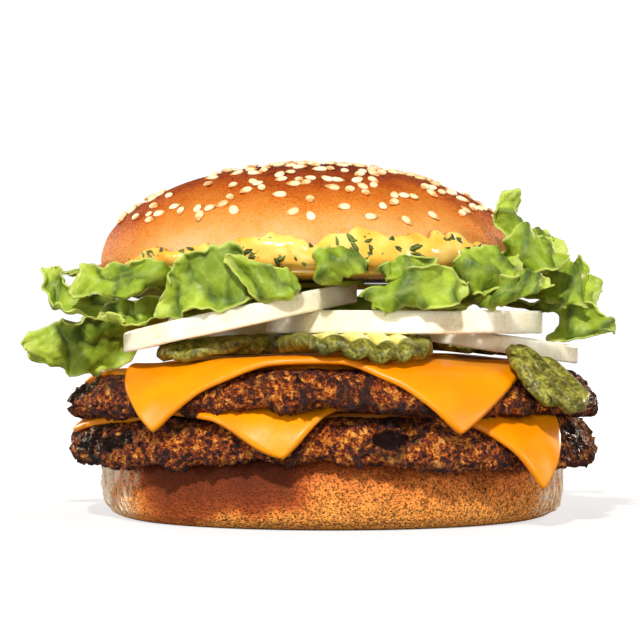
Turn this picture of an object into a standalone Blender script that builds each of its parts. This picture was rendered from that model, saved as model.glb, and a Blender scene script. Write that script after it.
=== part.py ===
"""A double cheeseburger, built from the base of the bun upwards, one solid for each piece.

The origin is the middle of the heel's flat underside. +Z is up, the front faces -Y, and +X is to the right.
Lengths are in millimetres until MM turns them into metres.
"""

import math
from dataclasses import dataclass

import bmesh
import bpy
import numpy as np
from mathutils import Vector, noise

MM = 0.001
GAP = 0.3  # air left between two pieces that touch
TAU = 2 * math.pi

# The stack, each height worked out from the one below it
HEEL_RADIUS = 55.0
HEEL_HEIGHT = 16.8
SLICE_THICKNESS = 1.5
RIM_RISE = 0.4  # how far a patty's lip stands above its core
RIM_CLEAR = 1.9  # air between a patty's outline and the sheet that hangs over it
PATTY_BEND = 5.4  # how far inside its outline a patty's edge starts to round over
LOWER_PATTY_CORE = 6.6
UPPER_PATTY_CORE = 5.8
LOWER_PATTY_BASE = HEEL_HEIGHT + GAP
TWO_SLICES = 2 * (SLICE_THICKNESS + GAP)
UPPER_PATTY_BASE = LOWER_PATTY_BASE + LOWER_PATTY_CORE + RIM_RISE + TWO_SLICES + 3.8 * GAP
CROWN_CENTRE = (-5.3, 0.0)
CROWN_RADIUS = 50.0
CROWN_BASE = 57.6
CROWN_WIDEST = 60.5
CROWN_HEIGHT = 83.7
SAUCE_THICKNESS = 1.5
SAUCE_SKIRT = 9.2
SEED_LENGTH = 3.1
SEED_COUNT = 46
CRINKLE_PITCH = 5.2
CRINKLE_DEPTH = 0.65
PICKLE_THICKNESS = 2.8
LEAF_THICKNESS = 0.8


@dataclass
class Patty:
    """A grilled beef patty: a thin core with a thicker, uneven rim that droops past what it lies on."""

    name: str
    base: float
    core: float
    radius: float
    centre_x: float
    hang: float
    thinning: float
    sunk: float
    droop_left: float
    droop_right: float
    droop_front: float
    seed: float
    worn: float = 0.0

    def outline(self, angle):
        """Radius of the rim in this direction, uneven as pressed mince is."""
        lobes = 0.8 * math.sin(2 * angle + self.seed) + 0.7 * math.sin(3 * angle + 2 * self.seed)
        lobes += 0.6 * math.sin(5 * angle + 3 * self.seed) + 0.4 * math.sin(9 * angle + self.seed)
        return self.radius + lobes

    def droop(self, radius, angle):
        """How far the rim has sunk at this place."""
        side = max(0.0, math.cos(angle)) ** 1.5 * self.droop_right
        side += max(0.0, -math.cos(angle)) ** 1.5 * self.droop_left
        side += abs(math.sin(angle)) * self.droop_front
        return side * smooth(54.0, 63.0, radius)

    def thinner(self, radius, angle, amount):
        """How much this thinning lowers a face at this place: only on the left, and not in the middle."""
        return amount * max(0.0, -math.cos(angle)) ** 1.5 * smooth(26.0, 48.0, radius)

    def worn_down(self, radius, angle):
        """How much lower the upper face is on the right, where the mince was pressed thinner."""
        return self.worn * max(0.0, math.cos(angle)) ** 1.5 * smooth(26.0, 48.0, radius)

    def top(self, radius, angle):
        """Height of the upper face, with the raised lip that runs round inside the rim."""
        lip = (RIM_RISE + 0.2) * smooth(0.72, 0.88, radius / self.outline(angle))
        low = self.thinner(radius, angle, self.thinning + self.sunk) + self.worn_down(radius, angle)
        return self.base + self.core + lip - low - self.droop(radius, angle)

    def underside(self, radius, angle):
        """Height of the lower face of the core."""
        return self.base - self.thinner(radius, angle, self.sunk) - self.droop(radius, angle)


LOWER_PATTY = Patty("patty_lower", LOWER_PATTY_BASE, LOWER_PATTY_CORE, 61.6, 0.2, 1.7, 1.3, 0.0, 2.5, 3.5, 1.2, 2.2)
UPPER_PATTY = Patty("patty_upper", UPPER_PATTY_BASE, UPPER_PATTY_CORE, 63.0, 1.3, 0.3, 1.3, 1.3, 2.5, 3.6, 1.2, 5.3, 1.6)


@dataclass
class Slice:
    """A slice of cheese laid on a patty, as it would lie flat: four corners and the middles of its four sides.

    The warm slices have stretched a little out of square, and the corners past the rim hang down.
    """

    name: str
    patty: Patty
    level: int
    corners: tuple
    middles: tuple


@dataclass
class Pickle:
    """A crinkle-cut pickle chip, lying on the upper patty's cheese and following it over the rim."""

    name: str
    centre: tuple
    radius: float
    turn: float
    steepest: float
    fade: tuple = (7.5, 17.0)


@dataclass
class Onion:
    """An open onion ring, cut as a band and tilted by slopes along X and Y."""

    name: str
    centre: tuple
    radius: float
    height: float
    start: float
    sweep: float
    slope: tuple


@dataclass
class Leaf:
    """A lettuce leaf between two margins, each a smooth curve through four points from root to tip."""

    name: str
    upper: tuple
    lower: tuple
    cup: float
    ruffle: float
    waves: float
    phase: float


SLICES = (
    Slice("cheese_lower_under", LOWER_PATTY, 0, ((54.2, -56.5), (46, 32), (-34, 38), (-28, -46)),
          ((48, -10.5), (6, 37), (-34, -4), (10, -49))),
    Slice("cheese_lower_over", LOWER_PATTY, 1, ((-12.2, -68), (51.7, -5.4), (1.7, 51), (-63, -11)),
          ((20, -37), (28, 24), (-31, 21), (-39, -41.5))),
    Slice("cheese_upper_under", UPPER_PATTY, 0, ((-62.5, 5), (-6, -54), (54, -4), (-4, 58)),
          ((-34, -25), (24, -29), (25, 27), (-33, 32))),
    Slice("cheese_upper_over", UPPER_PATTY, 1, ((-46.8, -58.5), (29.6, -71), (38, 20), (-35, 33)),
          ((-7, -57.5), (43.5, -21.5), (4, 29), (-46, -10.5))),
)

PICKLES = (
    Pickle("pickle_left", (-27.6, -34.0), 12.6, 80.0, 60.0),
    Pickle("pickle_front", (3.5, -44.5), 17.0, 22.0, 60.0),
    Pickle("pickle_right", (46.6, -42.4), 9.2, 48.0, 38.0, (0.3, 6.0)),
    Pickle("pickle_inner", (30.0, -13.5), 10.6, 35.0, 60.0),
    Pickle("pickle_back", (-8.0, 40.0), 16.0, 20.0, 60.0),
)

ONIONS = (
    Onion("onion_left", (-21.3, -26.0, 47.1), 23.6, 4.8, 88.0, 279.0, (0.22, 0.0)),
    Onion("onion_front", (16.6, -19.0, 46.05), 28.8, 5.2, 160.0, 240.0, (0.0, 0.0)),
    Onion("onion_right", (31.8, -8.2, 42.2), 22.8, 4.2, 236.0, 170.0, (-0.151, 0.0)),
    Onion("onion_back", (-12.0, 28.0, 45.6), 26.0, 4.8, 12.0, 190.0, (0.02, -0.03)),
)

LEAVES = (
    Leaf("lettuce_left_low", ((-36, -6, 50.5), (-51, -10, 47), (-62, -10, 46), (-74, -8, 42.5)),
         ((-38, 8, 50), (-51, 0, 38.5), (-61, -6, 34.4), (-72, -8, 36.5)), 0.10, 1.3, 2.5, 0.4),
    Leaf("lettuce_left_curl", ((-38, -26, 51.6), (-52, -28, 51.8), (-60, -27, 54), (-62, -25, 59.5)),
         ((-38, -20, 49.8), (-53, -30, 47.5), (-64, -29, 49.5), (-67.5, -26, 58)), 0.30, 0.5, 1.5, 1.2),
    Leaf("lettuce_left_high", ((-28, -34, 54.2), (-38.5, -43.5, 59.3), (-48, -38, 58.3), (-57, -34, 61)),
         ((-36, -26, 53), (-42, -43, 53.3), (-51, -38, 51.6), (-59, -34, 52.5)), -0.15, 0.8, 2.0, 2.2),
    Leaf("lettuce_left_inner", ((-30, -22, 51.6), (-42, -33, 51), (-47, -35, 50.6), (-52, -33, 50.6)),
         ((-33, -18, 50), (-41.5, -37, 46.8), (-47, -38, 44.8), (-51, -35, 44.6)), 0.15, 0.5, 2.0, 0.3),
    Leaf("lettuce_front_left", ((-17, -41.5, 52.6), (-20.3, -52.9, 61.8), (-31.5, -50.5, 60.4), (-37.5, -47.5, 54)),
         ((-18, -40, 51.8), (-19, -51.5, 51.6), (-29, -51, 48.6), (-41, -46, 46)), 0.10, 0.7, 2.2, 0.7),
    Leaf("lettuce_fold", ((-14, -40, 54.7), (-9, -52.7, 57.2), (-15, -54.2, 57.5), (-23.5, -53.9, 62)),
         ((-9, -40, 54), (-7.5, -52.4, 53.6), (-14, -55.1, 51.8), (-24.5, -54.5, 57)), 0.30, 0.5, 1.5, 2.0),
    Leaf("lettuce_front_curl", ((2, -40, 54.8), (-4.5, -53.3, 58.5), (-0.5, -54.2, 63.2), (7, -53.3, 60.8)),
         ((7.5, -40, 54.8), (-3, -53.9, 54.5), (3, -55.7, 55.5), (8.5, -54.2, 57.2)), 0.35, 0.6, 1.6, 0.2),
    Leaf("lettuce_front_inner", ((20, -30, 54.8), (11.5, -51.8, 58), (15, -51.8, 60.3), (22, -50.3, 60.5)),
         ((24, -28, 54.6), (12, -51.8, 55.4), (16, -51.9, 56.2), (23, -50.6, 56.5)), 0.05, 0.3, 2.0, 1.4),
    Leaf("lettuce_front_right", ((14, -38, 52), (8, -51.5, 52.6), (17, -54.2, 57.2), (29.5, -51.8, 59.2)),
         ((18, -36, 49.8), (9, -52.1, 49.4), (18, -54.5, 49), (31.5, -50.9, 50)), 0.15, 0.9, 2.4, 1.1),
    Leaf("lettuce_right", ((24, -30, 54.6), (27.5, -46.5, 59.5), (34, -44.5, 62.5), (42, -41, 61)),
         ((30, -27, 53.4), (31, -46.8, 53), (37, -45, 53.6), (44, -42, 54.6)), 0.10, 0.8, 2.6, 2.6),
    Leaf("lettuce_right_fold", ((29, -33, 50.4), (36.5, -50, 53.5), (42, -50, 57), (48.5, -46.5, 56.3)),
         ((34, -30, 49.4), (33.5, -50.9, 49.8), (40.5, -51.2, 51), (49, -48, 54.2)), 0.12, 0.4, 2.0, 0.4),
    Leaf("lettuce_right_high", ((34, -20, 53.2), (40, -37, 64.5), (46, -34, 66), (50, -30, 64)),
         ((37, -15, 52.4), (44.5, -38, 57.5), (50, -37, 58.3), (53.5, -33, 59.5)), 0.20, 0.9, 2.0, 1.9),
    Leaf("lettuce_far_right", ((36, -2, 54), (52, -20, 59), (57, -23, 60.3), (62, -21, 54)),
         ((39, 4, 53), (50, -26.5, 51.3), (56, -27, 50.6), (60.5, -25, 51)), 0.12, 1.0, 2.2, 0.9),
    Leaf("lettuce_far_right_low", ((38, -14, 51.8), (49, -21, 51.2), (59, -25, 50), (66.5, -25, 45.2)),
         ((37, -6, 50.2), (50.8, -18, 48.3), (51.7, -20, 41.6), (63, -26, 43.4)), 0.10, 0.5, 2.2, 2.9),
    Leaf("lettuce_right_top", ((33, -18, 54.8), (43.5, -30, 60), (37.5, -29.5, 69), (37.3, -28, 74.5)),
         ((36, -12, 54.8), (47.5, -25, 59.5), (44, -26.5, 70), (43.5, -25.5, 77)), 0.30, 0.6, 2.0, 1.7),
    Leaf("lettuce_right_back", ((36, 6, 54.6), (51, -3, 59.5), (46.5, -9, 67), (50, -8, 68.2)),
         ((37, 13, 54.4), (55, 3, 58.5), (51, -5, 63), (53.5, -5, 65.5)), 0.25, 0.5, 1.6, 0.5),
)

# In the middle of the layer, a leaf on edge between the onions and the flat leaf above it
INNER_LEAF = Leaf("lettuce_inner", ((-34, 12, 53.4), (-11, 15, 53.5), (11, 14, 53.5), (34, 12, 53.4)),
                  ((-34, 8, 49.2), (-11, 9, 49.2), (11, 9, 49.2), (34, 9, 49.2)), 0.1, 0.5, 3.0, 0.4)

# Behind, where the layer goes on round, leaves fan out by a rule: radius and height of each point, high or low
BACK_LEAF_AZIMUTHS = (40, 68, 96, 124, 152)
BACK_LEAF_HIGH = ((38.0, 54.2), (51.0, 54.0), (58.0, 60.5), (66.0, 58.5))
BACK_LEAF_LOW = ((38.0, 50.2), (51.0, 50.8), (61.5, 50.0), (69.0, 42.5))
LAYER_CEILING = 54.9  # nothing in the lettuce layer stands above this under the sauce
CROWN_CLEAR = 3.2  # air and sauce kept between the crown's wall and a leaf


def smooth(low, high, value):
    """0 below low, 1 above high, and an even blend between them."""
    share = min(1.0, max(0.0, (value - low) / (high - low)))
    return share * share * (3 - 2 * share)


def wobble(point, size, seed):
    """Smooth unevenness from -1 to 1 with features about this size, in millimetres."""
    return noise.noise(Vector(point) / size + Vector((seed, 2 * seed, 3 * seed)))


def rotate(x, y, angle):
    """The point turned about the origin."""
    return x * math.cos(angle) - y * math.sin(angle), x * math.sin(angle) + y * math.cos(angle)


def material(name, colour, roughness):
    """A plain material in the colour that the food shows."""
    made = bpy.data.materials.new(name)
    made.use_nodes = True
    shader = made.node_tree.nodes["Principled BSDF"]
    shader.inputs["Base Color"].default_value = (*colour, 1)
    shader.inputs["Roughness"].default_value = roughness
    shader.inputs["Metallic"].default_value = 0.0
    return made


def add_object(name, mesh, finish, collection):
    """A named object with its material, in the collection."""
    piece = bpy.data.objects.new(name, mesh)
    piece.data.materials.clear()
    piece.data.materials.append(finish)
    collection.objects.link(piece)
    return piece


def applied(piece):
    """The object with its modifiers made part of its mesh."""
    bpy.context.view_layer.update()
    graph = bpy.context.evaluated_depsgraph_get()
    mesh = bpy.data.meshes.new_from_object(piece.evaluated_get(graph))
    piece.modifiers.clear()
    piece.data = mesh
    return piece


def reshape(piece, move):
    """Moves each point by a rule that works in millimetres."""
    for vertex in piece.data.vertices:
        vertex.co = Vector(move(*(vertex.co / MM))) * MM
    piece.data.update()


def turned(name, profile, steps, finish, collection, sweep=360.0, closed=False):
    """A profile of (radius, height) points turned about Z. A part turn has its two ends filled."""
    count = len(profile)
    edges = [(i, (i + 1) % count) for i in range(count if closed else count - 1)]
    mesh = bpy.data.meshes.new(name)
    mesh.from_pydata([(r * MM, 0, z * MM) for r, z in profile], edges, [])
    piece = add_object(name, mesh, finish, collection)
    screw = piece.modifiers.new("Turn", "SCREW")
    screw.angle = math.radians(sweep)
    screw.steps = screw.render_steps = steps
    screw.use_merge_vertices = True
    screw.merge_threshold = 0.00001
    applied(piece)
    work = bmesh.new()
    work.from_mesh(piece.data)
    if sweep < 360:
        bmesh.ops.holes_fill(work, edges=[e for e in work.edges if e.is_boundary])
    bmesh.ops.recalc_face_normals(work, faces=work.faces)
    bmesh.ops.triangulate(work, faces=work.faces)
    work.to_mesh(piece.data)
    work.free()
    piece.data.shade_smooth()
    return piece


def sheet(name, columns, rows, place, thickness, finish, collection):
    """A grid laid out by place(u, v), u and v from -1 to 1, cut into triangles and given a thickness."""
    work = bmesh.new()
    bmesh.ops.create_grid(work, x_segments=columns, y_segments=rows, size=1.0)
    bmesh.ops.triangulate(work, faces=work.faces)
    for vertex in work.verts:
        vertex.co = Vector(place(vertex.co.x, vertex.co.y)) * MM
    mesh = bpy.data.meshes.new(name)
    work.to_mesh(mesh)
    work.free()
    piece = add_object(name, mesh, finish, collection)
    skin = piece.modifiers.new("Thickness", "SOLIDIFY")
    skin.thickness = thickness * MM
    skin.offset = 0.0
    applied(piece)
    piece.data.shade_smooth()
    return piece


def build_heel(finish, collection):
    """The bottom half of the bun: a flat base, a bulging side and a soft cut edge."""
    top = HEEL_HEIGHT
    profile = [(0, top), (50.5, top), (53.2, top - 0.9), (54.6, top - 3.2),
               (HEEL_RADIUS, 9.0), (54.8, 5.2), (53.7, 2.2), (51.8, 0.6), (49.6, 0.0), (0, 0)]
    piece = turned("bun_heel", profile, 35, finish, collection)

    def move(x, y, z):
        side = smooth(30, 50, math.hypot(x, y)) * smooth(0.0, 3.0, z)
        swell = 1 + side * 0.006 * wobble((x, y, z), 16.0, 0.7)
        return x * swell, y * swell, z

    reshape(piece, move)


def build_patty(patty, finish, collection):
    """A disc with a thick craggy rim, moved point by point to its uneven outline and its droop."""
    half = patty.core / 2
    up, down = half + RIM_RISE, half + patty.hang
    shares = ((0, half), (0.42, half), (0.6, half), (0.78, half), (0.88, up), (0.94, up * 0.92),
              (0.98, up * 0.5), (1.0, -0.4), (0.99, -down * 0.65), (0.96, -down),
              (0.925, -half - 0.3 * patty.hang), (0.88, -half), (0.5, -half), (0, -half))
    profile = [(share * patty.radius, height) for share, height in shares]
    piece = turned(patty.name, profile, 44, finish, collection)

    def move(x, y, z):
        radius, angle = math.hypot(x, y), math.atan2(y, x)
        share = radius / patty.radius
        radius = share * patty.outline(angle)
        crag = wobble((x, y, 3 * z), 7.0, patty.seed) + 0.5 * wobble((x, y, 3 * z), 3.5, patty.seed)
        low = patty.thinner(radius, angle, patty.sunk + (patty.thinning if z > -0.5 else 0.0))
        low += patty.worn_down(radius, angle) if z > -0.5 else 0.0
        height = patty.base + half + z - low - patty.droop(radius, angle)
        if share > 0.95:
            radius += 0.8 * crag - 0.4
        return patty.centre_x + radius * math.cos(angle), radius * math.sin(angle), height

    reshape(piece, move)


def outline_of(slice_):
    """The flat slice's edge as a ring of points: corner, middle of a side, corner and so on."""
    return [point for pair in zip(slice_.corners, slice_.middles) for point in pair]


def past_edge(ring, x, y):
    """Distance from the point to the ring, negative inside it."""
    nearest, inside = 1e9, False
    for (ax, ay), (bx, by) in zip(ring, ring[1:] + ring[:1]):
        dx, dy = bx - ax, by - ay
        share = min(1.0, max(0.0, ((x - ax) * dx + (y - ay) * dy) / (dx * dx + dy * dy)))
        nearest = min(nearest, math.hypot(x - ax - share * dx, y - ay - share * dy))
        if (ay > y) != (by > y) and x < ax + (y - ay) * dx / dy:
            inside = not inside
    return -nearest if inside else nearest


def slice_lift(patty, level, x, y, fade=(7.5, 17.0)):
    """How much the slices below this level lift what lies here, fading out past each slice's edges."""
    lift = 0.0
    for under in SLICES:
        if under.patty is patty and under.level < level:
            lift += (SLICE_THICKNESS + GAP) * (1 - smooth(*fade, past_edge(outline_of(under), x, y)))
    return lift


def flat_point(slice_, u, v):
    """The point of the flat slice at u and v from -1 to 1, by the curved patch through its corners and middles."""
    p, m = slice_.corners, slice_.middles
    centre = [sum(q[i] for q in m) / 4 for i in (0, 1)]
    rows = ((p[0], m[0], p[1]), (m[3], centre, m[1]), (p[3], m[2], p[2]))
    across = (u * (u - 1) / 2, 1 - u * u, u * (u + 1) / 2)
    along = (v * (v - 1) / 2, 1 - v * v, v * (v + 1) / 2)
    return [sum(along[r] * across[c] * rows[r][c][i] for r in range(3) for c in range(3)) for i in (0, 1)]


def over_patty(patty, x, y, lift, steepest=84.0):
    """Where a flat point ends up on the patty's top at this lift, or rolled down over its rim.

    A stiff piece stops rolling at its steepest angle and runs on straight.
    """
    reach, angle = math.hypot(x, y), math.atan2(y, x)
    edge = patty.outline(angle)
    start = edge - PATTY_BEND
    inner = min(reach, start)
    tilt = math.atan(patty.top(inner - 0.5, angle) - patty.top(inner + 0.5, angle))
    radius = inner + lift * math.sin(tilt)
    height = patty.top(inner, angle) + lift * math.cos(tilt)
    if reach > start:
        bend = (PATTY_BEND + RIM_CLEAR) / (math.sin(math.radians(84)) - math.sin(tilt)) + lift
        steep = min(max(tilt, math.radians(steepest)), tilt + (reach - start) / bend)
        straight = reach - start - bend * (steep - tilt)
        radius += bend * (math.sin(steep) - math.sin(tilt)) + straight * math.cos(steep)
        height -= bend * (math.cos(tilt) - math.cos(steep)) + straight * math.sin(steep)
    return patty.centre_x + radius * math.cos(angle), radius * math.sin(angle), height


def build_slice(slice_, finish, collection):
    """A square sheet, its points closer together near its edges, where it bends."""

    def place(u, v):
        u, v = (math.copysign(abs(w) ** 0.6, w) for w in (u, v))
        corner = 1 - 0.03 * (u * v) ** 8
        x, y = flat_point(slice_, u * corner, v * corner)
        lift = 1.5 * GAP + SLICE_THICKNESS / 2 + slice_lift(slice_.patty, slice_.level, x, y)
        return over_patty(slice_.patty, x, y, lift)

    sheet(slice_.name, 11, 11, place, SLICE_THICKNESS, finish, collection)


def build_pickle(pickle, finish, collection):
    """A round chip whose faces run in parallel crinkles."""
    turn = math.radians(pickle.turn)

    def place(u, v):
        chord = math.sqrt(max(0.03, 1 - u * u))
        along, side = u * pickle.radius, v * chord * pickle.radius
        x, y = rotate(along, side, turn)
        x, y = x + pickle.centre[0], y + pickle.centre[1]
        lift = 3.7 * GAP + PICKLE_THICKNESS / 2 + CRINKLE_DEPTH
        lift += slice_lift(UPPER_PATTY, 2, x, y, pickle.fade)
        lift += CRINKLE_DEPTH * math.sin(TAU * along / CRINKLE_PITCH)
        return over_patty(UPPER_PATTY, x, y, lift, pickle.steepest)

    columns = round(3 * 2 * pickle.radius / CRINKLE_PITCH)
    sheet(pickle.name, columns, 3, place, PICKLE_THICKNESS, finish, collection)


def build_onion(onion, finish, collection):
    """A band with a slightly bulging outer wall, turned part of the way round and tilted."""
    wall, tall = 3.2, onion.height / 2
    profile = [(onion.radius, tall * 0.9), (onion.radius + wall * 0.75, tall), (onion.radius + wall, tall * 0.4),
               (onion.radius + wall, -tall * 0.5), (onion.radius + wall * 0.7, -tall), (onion.radius + 0.2, -tall * 0.9)]
    piece = turned(onion.name, profile, 20, finish, collection, sweep=onion.sweep, closed=True)
    start = math.radians(onion.start)

    def move(x, y, z):
        x, y = rotate(x, y, start)
        z += x * onion.slope[0] + y * onion.slope[1]
        return onion.centre[0] + x, onion.centre[1] + y, onion.centre[2] + z

    reshape(piece, move)


def through(points, share):
    """The point at this share of the smooth curve through four points."""
    p = [Vector(point) for point in points]
    p = [p[0] * 2 - p[1], *p, p[-1] * 2 - p[-2]]
    step = min(2, int(share * 3))
    t = share * 3 - step
    a, b, c, d = p[step:step + 4]
    curve = b * 2 + (c - a) * t + (a * 2 - b * 5 + c * 4 - d) * t**2 + (b * 3 - a - c * 3 + d) * t**3
    return curve / 2


def clear_of_crown(point):
    """The point itself, or moved out or down until it clears the crown and the sauce under it."""
    x, y, z = point
    x, y = x - CROWN_CENTRE[0], y - CROWN_CENTRE[1]
    reach = math.hypot(x, y)
    outward = crown_wall(z) + CROWN_CLEAR - reach
    if z <= LAYER_CEILING or outward <= 0 or z > CROWN_HEIGHT:
        return point
    if z - LAYER_CEILING < outward:
        return Vector((point[0], point[1], LAYER_CEILING))
    grow = (reach + outward) / reach
    return Vector((CROWN_CENTRE[0] + x * grow, CROWN_CENTRE[1] + y * grow, z))


def leaf_point(leaf, share, side):
    """A point of the blade: share runs from root to tip, and side from the lower margin, -1, to the upper, 1."""
    high, low = through(leaf.upper, share), through(leaf.lower, share)
    ahead = through(leaf.upper, min(1.0, share + 0.02)) - through(leaf.upper, max(0.0, share - 0.02))
    across = high - low
    normal = ahead.cross(across).normalized()
    lobe = 1 - 0.45 * smooth(0.8, 1.0, share)
    point = (high + low) / 2 + across / 2 * side * lobe
    wave = math.sin(TAU * leaf.waves * share + leaf.phase + (1.4 if side > 0 else 0.0))
    lift = leaf.cup * across.length / 2 * (1 - side * side)
    lift += leaf.ruffle * abs(side) ** 1.7 * smooth(0.2, 0.5, share) * wave
    return clear_of_crown(point + normal * lift)


def back_leaves():
    """The leaves behind, alternately low and high, each with its own reach and ruffle."""
    for index, azimuth in enumerate(BACK_LEAF_AZIMUTHS):
        margins = []
        for turn, drop in ((-15, 0.0), (15, 1.5)):
            angle = math.radians(azimuth + turn)
            rows = BACK_LEAF_LOW if index % 2 else BACK_LEAF_HIGH
            grow = 1 + 0.03 * math.sin(2.3 * index + turn)
            out, along = grow * math.cos(angle), grow * math.sin(angle)
            margins.append(tuple((r * out + CROWN_CENTRE[0], r * along, z - drop * (r > 55)) for r, z in rows))
        yield Leaf(f"lettuce_back_{index + 1}", *margins, 0.08, 1.2, 2.4, 1.1 * index)


def build_leaf(leaf, finish, collection):
    """A thin wavy blade."""

    def place(u, v):
        return leaf_point(leaf, (u + 1) / 2, v)

    sheet(leaf.name, 7, 3, place, LEAF_THICKNESS, finish, collection)


def build_middle_leaf(finish, collection):
    """The leaf in the middle of the layer, a wavy disc under the sauce."""
    profile = [(0, 0.4), (16, 0.4), (30, 0.4), (31, 0.0), (30, -0.4), (16, -0.4), (0, -0.4)]
    piece = turned("lettuce_middle", profile, 22, finish, collection)

    def move(x, y, z):
        wide = 1 + 0.05 * math.sin(4 * math.atan2(y, x) + 0.6)
        z += 0.3 * math.sin(x / 5.5) * math.cos(y / 6.5)
        return x * wide - 4.0, y * wide * 0.78 + 9.0, z + 54.7

    reshape(piece, move)


def crown_wall(height):
    """Radius of the crown's outer wall at this height: a flattened half ellipse over a rounded lower edge."""
    if height >= CROWN_WIDEST:
        share = (height - CROWN_WIDEST) / (CROWN_HEIGHT - CROWN_WIDEST)
        return CROWN_RADIUS * math.sqrt(max(0.0, 1 - share * share))
    share = (CROWN_WIDEST - height) / (CROWN_WIDEST - CROWN_BASE)
    return CROWN_RADIUS - 3.0 * (1 - math.sqrt(max(0.0, 1 - min(1.0, share) ** 2)))


# How high the sauce stands up the crown's wall, by degrees to the right of the front
SKIRT = ((-180, 1.0), (-150, 3.0), (-125, 1.2), (-100, 2.5), (-70, 1.0), (-57, 1.5), (-45, 5.5), (-36, 4.5),
         (-28, 6.2), (-23, 3.8), (-17, 7.6), (-10, 8.6), (-3, 7.6), (1, 6.0), (6, 8.6), (12, 9.2), (20, 8.2),
         (28, 8.0), (36, 8.8), (41, 9.0), (47, 6.8), (60, 1.6), (70, 1.0), (100, 2.6), (130, 1.2), (155, 3.2), (180, 1.0))


def skirt_height(angle):
    """Height of the skirt in this direction, read from the list with smooth blends."""
    right = (math.degrees(angle) + 90 + 180) % 360 - 180
    for (low, before), (high, after) in zip(SKIRT, SKIRT[1:]):
        if right <= high:
            return before + (after - before) * smooth(low, high, right)
    return SKIRT[-1][1]


def build_sauce(finish, collection):
    """A thick dressing under the crown, squeezed up its wall in a ragged skirt."""
    under = CROWN_BASE - GAP
    low = under - SAUCE_THICKNESS
    inner, outer = GAP + 0.6, GAP + 1.8
    wall = [under + share * SAUCE_SKIRT for share in (0.05, 0.18, 0.6, 1.0)]
    profile = [(0, under), (CROWN_RADIUS - 3.4, under)]
    profile += [(crown_wall(z) + inner, z) for z in wall]
    profile += [(crown_wall(z) + outer, z) for z in reversed(wall[1:])]
    profile += [(CROWN_RADIUS - 0.2, under - 0.2), (CROWN_RADIUS - 8, low), (0, low)]
    piece = turned("sauce", profile, 52, finish, collection)

    def move(x, y, z):
        radius, angle = math.hypot(x, y), math.atan2(y, x)
        if z > under + 0.01:
            height = under + (z - under) * skirt_height(angle) / SAUCE_SKIRT
            radius += crown_wall(height) - crown_wall(z)
            z = height
        return CROWN_CENTRE[0] + radius * math.cos(angle), CROWN_CENTRE[1] + radius * math.sin(angle), z

    reshape(piece, move)


def seed_places(count):
    """Spots on the crown, evenly spread by a golden-angle spiral and then scattered, thickest near the top."""
    draw = np.random.default_rng(7)
    places = []
    for index in range(count):
        share = (index + 0.5) / count
        lean = math.radians(8 + 62 * share**0.62) + draw.uniform(-0.03, 0.03)
        around = index * math.radians(137.508) + draw.uniform(-0.2, 0.2)
        places.append((lean, around, draw.uniform(0, math.pi), draw.uniform(0.88, 1.12)))
    return places


def crown_spot(lean, around):
    """A point of the dome and its normal, by the ellipse's own angle from the top."""
    rise = CROWN_HEIGHT - CROWN_WIDEST
    flat = Vector((math.cos(around), math.sin(around), 0))
    point = flat * CROWN_RADIUS * math.sin(lean) + Vector((0, 0, CROWN_WIDEST + rise * math.cos(lean)))
    normal = flat * math.sin(lean) / CROWN_RADIUS + Vector((0, 0, math.cos(lean) / rise))
    return point, normal.normalized()


def build_crown(finish, collection):
    """The top half of the bun with sesame seeds fused to its dome."""
    rise = CROWN_HEIGHT - CROWN_WIDEST
    dome = [(CROWN_RADIUS * math.sin(a), CROWN_WIDEST + rise * math.cos(a))
            for a in (math.radians(d) for d in (0, 13, 27, 41, 55, 70, 82, 90))]
    edge = [(crown_wall(z), z) for z in (CROWN_BASE + 1.3, CROWN_BASE + 0.3)]
    profile = dome + edge + [(CROWN_RADIUS - 3.6, CROWN_BASE), (0, CROWN_BASE)]
    piece = turned("bun_crown", profile, 48, finish, collection)
    seeds = bpy.data.collections.new("seeds")
    bpy.context.scene.collection.children.link(seeds)
    for index, (lean, around, turn, scale) in enumerate(seed_places(SEED_COUNT)):
        point, normal = crown_spot(lean, around)
        work = bmesh.new()
        bmesh.ops.create_uvsphere(work, u_segments=6, v_segments=4, radius=1.0)
        mesh = bpy.data.meshes.new(f"seed_{index}")
        work.to_mesh(mesh)
        work.free()
        seed = add_object(mesh.name, mesh, finish, seeds)
        half = SEED_LENGTH / 2 * scale
        facing = normal.to_track_quat("Z", "Y").to_matrix()
        for vertex in seed.data.vertices:
            x, y, z = vertex.co
            x, y = rotate(x * half, y * half * (0.66 - 0.12 * x), turn)
            vertex.co = (point + facing @ Vector((x, y, z * 0.75 + 0.2))) * MM
    join = piece.modifiers.new("Join seeds", "BOOLEAN")
    join.operation = "UNION"
    join.solver = "MANIFOLD"
    join.operand_type = "COLLECTION"
    join.collection = seeds
    applied(piece)
    for seed in list(seeds.objects):
        bpy.data.objects.remove(seed)
    bpy.data.collections.remove(seeds)
    reshape(piece, lambda x, y, z: (x + CROWN_CENTRE[0], y + CROWN_CENTRE[1], z))


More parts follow.
